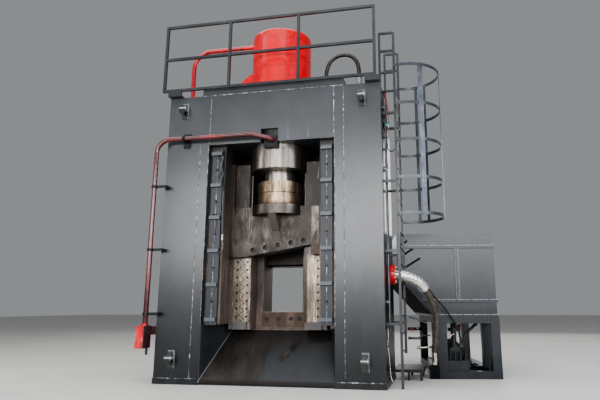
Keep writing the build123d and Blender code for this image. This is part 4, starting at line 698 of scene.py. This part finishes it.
def smoothLine(corners, steps=8):
    # Catmull-Rom curve: a cubic between each pair of corners, with shared tangents.
    p = np.asarray(corners, float)
    p = np.concatenate([[2 * p[0] - p[1]], p, [2 * p[-1] - p[-2]]])
    t = np.linspace(0, 1, steps, endpoint=False)[None, :, None]
    a, b, c, d = (p[i : len(p) - 3 + i, None, :] for i in range(4))
    line = 0.5 * (2 * b + (c - a) * t + (2 * a - 5 * b + 4 * c - d) * t**2 + (3 * b - a - 3 * c + d) * t**3)
    return np.concatenate([line.reshape(-1, 3), p[-2:-1]])


def unit(x, y, z):
    # A place in the power unit's own frame, as a place in the scene.
    return unitOrigin + Vector((x * cos(unitTurn) - y * sin(unitTurn), x * sin(unitTurn) + y * cos(unitTurn), z))


def meshPiece(name, parts, surface, body="frame"):
    # One piece from several sets of points and faces, fixed to a body.
    points, faces, start = [], [], 0
    for somePoints, someFaces in parts:
        points.append(np.asarray(somePoints, float))
        faces.extend(tuple(index + start for index in face) for face in someFaces)
        start += len(somePoints)
    mesh = bpy.data.meshes.new(name)
    mesh.from_pydata(np.concatenate(points).tolist(), [], faces)
    mesh.polygons.foreach_set("use_smooth", [True] * len(mesh.polygons))
    mesh.materials.append(surfaces[surface])
    mesh.update()
    made = bpy.data.objects.new(name, mesh)
    bpy.context.scene.collection.objects.link(made)
    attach(made, body)
    return made


# Camera of the photo: 32.7 mm on a 36 mm wide sensor, principal point right of and above the middle.
photoView = {"place": (3.1578, -10.2115, 1.3422), "turn": (-0.205, 0.22, -0.0021), "sensor": 36.0, "lens": 32.741,
             "shift": (-0.0539, -0.0258), "far": 200.0}
camera = bpy.data.objects.new("photoCamera", bpy.data.cameras.new("photoCamera"))
camera.data.sensor_width = photoView["sensor"]
camera.data.lens = photoView["lens"]
camera.data.shift_x, camera.data.shift_y = photoView["shift"]
camera.data.clip_end = photoView["far"]
yaw, pitch, roll = photoView["turn"]
ahead = Vector((sin(yaw) * cos(pitch), cos(yaw) * cos(pitch), sin(pitch)))
across = Vector((cos(yaw), -sin(yaw), 0.0))
above = across.cross(ahead)
right = cos(roll) * across + sin(roll) * above
top = -sin(roll) * across + cos(roll) * above
facing = Matrix((right, top, -ahead)).transposed().to_4x4()
camera.matrix_world = Matrix.Translation(photoView["place"]) @ facing
bpy.context.scene.collection.objects.link(camera)
bpy.context.scene.camera = camera

# Hoses: routes as in the CAD, with radius, finish, length in metres and stiffness.
hoses = {
    "main_hose": {
        "radius": 0.0595, "surface": "hoseCover", "length": 2.01, "stiffness": "stiff",
        "route": [(2.29, -0.12, 1.91), (2.55, -0.06, 1.862), (2.74, 0.095, 1.674), (2.868, 0.34, 1.422),
                  (2.925, 0.6, 1.095), (2.883, 0.72, 0.77), (2.853, 0.876, 0.511)],
    },
    "pilot_hose": {
        "radius": 0.014, "surface": "blackHose", "length": 2.28, "stiffness": "medium",
        "route": [(2.23, 0.02, 1.91), (2.33, 0.02, 1.91), (2.55, 0.075, 1.895), (2.79, 0.262, 1.69),
                  (2.89, 0.425, 1.52), (3.03, 0.63, 1.375), (3.22, 0.805, 1.105), (3.345, 0.905, 0.85),
                  (3.3352, 1.0267, 0.66), (3.3352, 1.0267, 0.499)],
    },
    "top_hose": {
        "radius": 0.04, "surface": "blackHose", "length": 1.4, "stiffness": "stiff",
        "route": [(0.935, -0.13, 5.76), (0.935, -0.13, 6.06), (1.11, -0.13, 6.31), (1.42, -0.13, 6.34),
                  (1.615, -0.13, 6.13), (1.615, -0.13, 5.88)],
    },
}
centreLines = {}
for name, hose in hoses.items():
    curve = bpy.data.curves.new(name + "Curve", "CURVE")
    curve.dimensions = "3D"
    spline = curve.splines.new("NURBS")
    spline.points.add(len(hose["route"]) - 1)
    for point, place in zip(spline.points, hose["route"]):
        point.co = (*place, 1.0)
    spline.order_u = 3
    spline.use_endpoint_u = True
    spline.resolution_u = 14
    piece = bpy.data.objects.new(name + "Curve", curve)
    bpy.context.scene.collection.objects.link(piece)
    bpy.context.view_layer.update()
    line = bpy.data.meshes.new_from_object(piece)  # the centre line, read before the curve has a thickness
    centreLines[name] = np.array([vertex.co for vertex in line.vertices])
    bpy.data.meshes.remove(line)
    curve.bevel_depth = hose["radius"]
    curve.bevel_resolution = 5
    curve.use_fill_caps = True
    curve.materials.append(surfaces[hose["surface"]])
    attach(piece, "frame")
    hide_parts(name)

# Foil sleeve over the first part of the big hose. Radius = base * (1 + rings + dents): the rings are sines
# along the sleeve whose phase wanders round it, the dents a few slow waves round it.
sleeve = {"radius": 0.0955, "length": 0.6, "rings": 150, "sides": 56, "ringDepth": 0.034, "dentDepth": 0.014}
route = centreLines["main_hose"]
run = np.concatenate([[0], np.cumsum(np.linalg.norm(np.diff(route, axis=0), axis=1))])
wanted = np.linspace(0, sleeve["length"], sleeve["rings"])
sleeveLine = np.stack([np.interp(wanted, run, route[:, axis]) for axis in range(3)], axis=1)
angles = np.arange(sleeve["sides"])[None, :] * 2 * pi / sleeve["sides"]
along = wanted[:, None]
swell = np.ones((sleeve["rings"], sleeve["sides"]))
for pitch, share, waves in ((0.062, 1.0, 2), (0.037, 0.7, 3), (0.021, 0.4, 5)):
    wander = 0.9 * np.sin(waves * angles + rng.uniform(0, 2 * pi)) + rng.uniform(0, 2 * pi)
    depth = sleeve["ringDepth"] * share
    swell += depth * np.abs(np.sin(pi * along / pitch + wander)) - depth / 2
for waves in (3, 4, 7):
    swell += sleeve["dentDepth"] * np.sin(waves * angles + 11 * along + rng.uniform(0, 2 * pi))
swell[:4] *= np.linspace(0.93, 1.0, 4)[:, None]
swell[-5:] *= np.linspace(1.0, 0.86, 5)[:, None]
sleevePiece = meshPiece(
    "foilSleeve", [sweep(sleeveLine, roundProfile(sleeve["radius"], sleeve["sides"]), swell)], "foil"
)
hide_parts("hose_sleeve")
print("hoses done")

# Weld seams: half-round beads whose radius ripples along the run.
welds = {"radius": 0.009, "pitch": 0.02, "ripple": 0.45, "edgeRadius": 0.006, "stitch": 0.007}
seamRuns = [((side * 1.41, frontY, 0.1), (side * 1.41, frontY, 4.39 if side < 0 else 5.4)) for side in (-1, 1)]
seamRuns += [((side * 1.225, frontY, 4.4), (side * 1.225, frontY, 5.4)) for side in (-1, 1)]
seamRuns += [((-1.41, frontY, 5.405), (1.41, frontY, 5.405))]
seamRuns += [((side * 1.24, frontY - 0.006, 0.103), (side * 2.1, frontY - 0.006, 0.103)) for side in (-1, 1)]
edgeRuns = [((side * 1.238, frontY, 1.0), (side * 1.238, frontY, 4.385)) for side in (-1, 1)]
stitchRuns = [((side * 1.075, frontY + 0.08, 1.04), (side * 1.075, frontY + 0.08, 4.29)) for side in (-1, 1)]
for name, runs, radius in (
    ("columnSeams", seamRuns, welds["radius"]),
    ("openingEdgeBeads", edgeRuns, welds["edgeRadius"]),
    ("barStitchWelds", stitchRuns, welds["stitch"]),
):
    beads = []
    for first, last in runs:
        count = int(np.linalg.norm(np.subtract(last, first)) / welds["pitch"]) + 2
        ripple = 1 + welds["ripple"] * rng.uniform(-1, 1, count)
        beads.append(sweep(np.linspace(first, last, count), roundProfile(radius, 8), ripple))
    meshPiece(name, beads, "weld")

# Two thin runs of paint on the beam: the radius grows to a drop at the foot.
drips = {"radius": 0.004, "drop": 2.2, "runs": (((0.343, 4.787), (0.348, 4.431)), ((0.733, 4.739), (0.736, 4.42)))}
dripParts = []
for (x1, z1), (x2, z2) in drips["runs"]:
    t = np.linspace(0, 1, 30)
    path = np.stack([x1 + (x2 - x1) * t, np.full(30, frontY), z1 + (z2 - z1) * t], axis=1)
    dripParts.append(sweep(path, roundProfile(drips["radius"], 10), 0.6 + 0.4 * t + drips["drop"] * t**30))
meshPiece("paintRuns", dripParts, "weld")
print("welds done")

# Grease lines: thin tubes that hang beside the left guide bar, two tangled above and a loop below, with clips.
greaseLines = {
    "radius": 0.006,
    "dark": [(-1.105, -0.716, 4.24), (-1.02, -0.735, 4.12), (-0.955, -0.745, 3.9), (-1.03, -0.735, 3.76),
             (-0.935, -0.745, 3.61), (-0.9, -0.74, 3.4), (-0.905, -0.74, 3.1), (-0.898, -0.74, 2.64)],
    "light": [(-1.15, -0.716, 4.3), (-0.95, -0.75, 4.17), (-0.985, -0.745, 3.98), (-0.925, -0.748, 3.81),
              (-0.985, -0.742, 3.68), (-0.925, -0.744, 3.48), (-0.925, -0.742, 3.15), (-0.908, -0.742, 2.64)],
    "loop": [(-0.9, -0.742, 2.56), (-0.875, -0.745, 2.44), (-0.905, -0.748, 2.345), (-0.99, -0.748, 2.3),
             (-1.065, -0.74, 2.35), (-1.085, -0.728, 2.52), (-1.06, -0.722, 2.8), (-1.08, -0.716, 3.05)],
    "joint": ((-0.902, -0.742, 2.655), (-0.901, -0.742, 2.545)),
}
thin = roundProfile(greaseLines["radius"], 8)
meshPiece("greaseLineDark", [sweep(smoothLine(greaseLines["dark"]), thin)], "black")
meshPiece("greaseLineLight", [sweep(smoothLine(greaseLines[key]), thin) for key in ("light", "loop")],
          "dulledSteel")
joint = smoothLine(greaseLines["joint"], 12)
bulges = 1 + 0.25 * np.sin(np.linspace(0, 3 * pi, len(joint)))
meshPiece("greaseJoint", [sweep(joint, roundProfile(0.016, 12), bulges)], "whiteWire")
clips = [softBar((x - 0.03, -0.722, z), (x + 0.03, -0.722, z), 0.045, 0.018, 0.004)
         for x, z in ((-1.095, 4.24), (-0.945, 3.56), (-0.935, 3.08), (-1.082, 3.04))]
meshPiece("greaseClips", clips, "black")

# Bracket under the right guide bar, pin beside the flange block.
meshPiece("barFootBracket", [
    softBar((1.14, -0.705, 0.99), (1.236, -0.705, 0.99), 0.05, 0.055, 0.006),
    softBar((1.225, -0.705, 0.965), (1.225, -0.705, 1.06), 0.05, 0.02, 0.005),
], "barPaint")
meshPiece("flangePin", [softBar((0.215, -0.79, 4.294), (0.285, -0.79, 4.294), 0.018, 0.018, 0.004, 3.0)],
          "plated")
print("bar details done")

# Signal lamp and control wires on the right column's side: a box, a domed lens and wires in loose curves.
lampBox = {"x": 2.1, "y": -0.35, "z": 4.69, "depth": 0.085}
lx, ly, lz, ld = lampBox.values()
meshPiece("lampHousing", [softBar((lx, ly, lz), (lx + ld, ly, lz), 0.09, 0.12, 0.008)], "black")
dome = np.linspace(0, pi / 2, 9)
domePath = np.stack([np.full(9, lx + ld - 0.01), ly - 0.045 - 0.012 * np.sin(dome), np.full(9, lz)], axis=1)
domePath[0, 1] += 0.01
meshPiece("lampLens", [sweep(domePath, roundProfile(0.026, 20), np.maximum(np.cos(dome), 0.08))],
          "greenLens")
wires = {  # radius and corners of each run
    "redWire": (0.007, [
        [(2.112, -0.3, 5.4), (2.15, -0.3, 5.3), (2.163, -0.3, 5.24), (2.19, -0.3, 5.08),
         (2.196, -0.3, 5.0), (2.17, -0.3, 4.92), (2.15, -0.31, 4.85)],
        [(2.14, -0.3, 4.64), (2.17, -0.3, 4.6), (2.176, -0.3, 4.52), (2.16, -0.3, 4.44)]]),
    "whiteWire": (0.0055, [
        [(2.15, -0.3, 4.92), (2.172, -0.3, 4.88), (2.168, -0.3, 4.78), (2.188, -0.3, 4.7),
         (2.176, -0.3, 4.6), (2.16, -0.3, 4.5), (2.165, -0.3, 4.4), (2.175, -0.3, 4.29),
         (2.16, -0.3, 4.23)],
        [(2.128, -0.62, 1.0), (2.124, -0.62, 0.94), (2.132, -0.62, 0.85), (2.122, -0.62, 0.76),
         (2.118, -0.62, 0.68), (2.134, -0.62, 0.58), (2.14, -0.62, 0.48), (2.146, -0.62, 0.38),
         (2.152, -0.62, 0.27), (2.165, -0.62, 0.17), (2.19, -0.62, 0.115)]]),
    "black": (0.009, [
        [(2.112, -0.2, 5.395), (2.13, -0.2, 5.25), (2.128, -0.2, 4.95), (2.136, -0.2, 4.6),
         (2.132, -0.22, 4.2), (2.15, -0.22, 3.9)],
        [(2.112, -0.26, 5.395), (2.14, -0.24, 5.2), (2.15, -0.22, 4.9), (2.142, -0.24, 4.5),
         (2.17, -0.27, 4.26), (2.24, -0.3, 4.19), (2.3, -0.32, 4.23)]]),
}
for key, (radius, lines) in wires.items():
    meshPiece(key + "Runs", [sweep(smoothLine(line), roundProfile(radius, 8)) for line in lines], key)
tieSets = (  # how far they reach in X, width, height and edge, then their places in Y and Z
    (2.158, 0.1, 0.022, 0.004, ((-0.3, 5.39), (-0.3, 4.88), (-0.3, 4.47), (-0.3, 4.235), (-0.22, 3.905))),
    (2.14, 0.03, 0.014, 0.003, ((-0.62, 0.985), (-0.62, 0.69))),
    (2.16, 0.03, 0.014, 0.003, ((-0.62, 0.3),)),
)
meshPiece("wireTies", [
    softBar((lx, y, z), (reach, y, z), width, height, edge)
    for reach, width, height, edge, places in tieSets for y, z in places
], "black")
print("wires done")

# Pipework under the tank, in the unit's own frame: radius, finish and corners of each run.
pipework = [
    (0.02, "plated", "silverPipe", [(-1.073, 0.5, 0.617), (-0.93, 0.5, 0.716), (-0.794, 0.5, 0.81)]),
    (0.024, "dulledSteel", "returnBend",
     [(-1.664, 1.0, 0.697), (-1.54, 1.0, 0.69), (-1.439, 1.0, 0.693), (-1.372, 1.0, 0.745),
      (-1.402, 1.0, 0.83)]),
    (0.022, "plated", "lowPipe",
     [(-1.56, 0.3, 0.549), (-1.4, 0.3, 0.555), (-1.25, 0.3, 0.559), (-1.174, 0.3, 0.507),
      (-1.14, 0.3, 0.4)]),
    (0.028, "blackHose", "suctionHose",
     [(-0.314, 0.6, 1.01), (-0.4, 0.6, 0.93), (-0.496, 0.6, 0.844), (-0.567, 0.6, 0.748),
      (-0.6, 0.6, 0.62), (-0.625, 0.6, 0.446), (-0.62, 0.58, 0.3)]),
    (0.024, "blackHose", "pressureHoseA",
     [(-0.77, 0.5, 0.99), (-0.77, 0.5, 0.877), (-0.789, 0.5, 0.665), (-0.835, 0.48, 0.48),
      (-0.884, 0.4, 0.33)]),
    (0.02, "blackHose", "pressureHoseB",
     [(-0.7, 0.46, 0.99), (-0.69, 0.46, 0.781), (-0.65, 0.44, 0.55), (-0.673, 0.36, 0.44),
      (-0.64, 0.28, 0.34)]),
    (0.016, "dulledSteel", "drainPipe", [(-1.709, 0.2, 1.14), (-1.56, 0.2, 1.1), (-1.362, 0.2, 1.02)]),
    (0.012, "plated", "gaugePipe", [(-1.32, 1.2, 0.738), (-1.24, 1.2, 0.739), (-1.169, 1.2, 0.738)]),
]
for radius, surface, name, corners in pipework:
    line = smoothLine([unit(*corner) for corner in corners])
    parts = [sweep(line, roundProfile(radius, 12))]
    for near, far in ((0, 3), (-1, -4)):  # a fitting of 50 mm at each end
        first, inwards = line[near], line[far] - line[near]
        last = first + inwards * 0.05 / np.linalg.norm(inwards)
        parts.append(sweep(np.linspace(first, last, 4), roundProfile(radius * 1.45, 6), [0.9, 1.0, 1.0, 0.85]))
    meshPiece(name, parts, surface)
elbows = [
    ((-0.884, 0.4, 0.33), (-0.884, 0.34, 0.24)), ((-0.64, 0.28, 0.34), (-0.6, 0.22, 0.25)),
    ((-0.62, 0.58, 0.3), (-0.56, 0.5, 0.21)), ((-0.78, 0.24, 0.3), (-0.7, 0.2, 0.22)),
    ((-0.52, 0.3, 0.25), (-0.44, 0.28, 0.19)), ((-0.76, 0.5, 0.95), (-0.76, 0.5, 1.02)),
]
meshPiece("pumpElbows", [softBar(unit(*a), unit(*b), 0.06, 0.06, 0.008, 3.0) for a, b in elbows],
          "plated")
caps = (("redCap", "redWire", (-1.542, 1.4, 0.854)), ("blueCap", "blueCap", (-1.415, 1.4, 0.881)))
for name, surface, (x, y, z) in caps:
    body = softBar(unit(x, y - 0.02, z), unit(x, y + 0.1, z), 0.055, 0.055, 0.008, 2.5)
    meshPiece(name, [body], surface)
meshPiece("capRail", [softBar(unit(-1.62, 1.52, 0.865), unit(-1.3, 1.52, 0.865), 0.07, 0.06, 0.006)],
          "darkSteel")
print("pipework done")

# Cap of the valve at the foot of the return pipe: a softened box with shoulders, lofted upwards.
valveCap = {"left": -2.359, "right": -2.191, "front": -1.049, "rear": -0.955, "bottom": 0.621, "top": 1.009}
vx, vy = (valveCap["left"] + valveCap["right"]) / 2, (valveCap["front"] + valveCap["rear"]) / 2
heights = np.array([0, 0.006, 0.02, 0.06, 0.2, 0.32, 0.36, 0.374, 0.383, 0.388]) + valveCap["bottom"]
shrink = np.array([0.8, 0.93, 0.985, 1.0, 1.0, 0.99, 0.97, 0.93, 0.86, 0.72])
capPath = np.stack([np.full(10, vx), np.full(10, vy), heights], axis=1)
capProfile = squareProfile(valveCap["rear"] - valveCap["front"], valveCap["right"] - valveCap["left"], 4.0, 40)
meshPiece("valveCap", [sweep(capPath, capProfile, shrink, (1.0, 0, 0))], "valveRed")
print("valve done")


def softLight(name, place, aim, size, power, tint):
    # A rectangular area light that looks at a point.
    lamp = bpy.data.lights.new(name, "AREA")
    lamp.shape = "RECTANGLE"
    lamp.size, lamp.size_y = size
    lamp.energy = power
    lamp.color = linear(tint)[:3]
    made = bpy.data.objects.new(name, lamp)
    made.location = place
    made.rotation_euler = (Vector(aim) - Vector(place)).to_track_quat("-Z", "Y").to_euler()
    bpy.context.scene.collection.objects.link(made)


# Each light's place, the point it looks at, its size, its power in watts and its tint. The wide panel before the
# machine gives the paint its broad sheen at half height.
lights = {
    "frontPanel": ((2.0, -20.0, 5.9), (2.0, 0, 3.2), (29, 5.4), 4600, "#ffffff"),
    "roofSoftbox": ((-1.0, -3.0, 13.0), (0, 0, 2.5), (16, 12), 1700, "#ffffff"),
    "leftWindow": ((-13.0, -6.0, 6.5), (0, 0, 2.6), (6, 9), 350, "#fff6ec"),
    "rightWindow": ((13.0, -8.0, 6.0), (1.0, 0, 3.4), (6, 8), 1100, "#eef4ff"),
    "rearPanel": ((2.0, 20.0, 7.5), (1.0, 0, 4.0), (22, 6), 900, "#ffffff"),
}
for name, settings in lights.items():
    softLight(name, *settings)

world = bpy.data.worlds.new("studioWorld")
world.use_nodes = True
background = world.node_tree.nodes["Background"]
background.inputs["Color"].default_value = linear("#dfe2e5")
background.inputs["Strength"].default_value = 0.34
bpy.context.scene.world = world

floorLook = {"stops": [(0.3, "#c2c0bc"), (0.7, "#cfcdc9")], "patches": 0.4, "grain": 8.0, "roughness": (0.5, 0.65),
             "bump": 0.02, "metallic": 0.0}
floorMesh = bpy.data.meshes.new("studioFloor")
floorMesh.from_pydata([(-60, -40, 0), (60, -40, 0), (60, 80, 0), (-60, 80, 0)], [], [(0, 1, 2, 3)])
floorMesh.materials.append(finish("paleConcreteFloor", floorLook))
floor = bpy.data.objects.new("studioFloor", floorMesh)
bpy.context.scene.collection.objects.link(floor)
bpy.context.scene.view_settings.view_transform = "AgX"
bpy.context.scene.view_settings.look = "AgX - Medium High Contrast"
print("stage done")
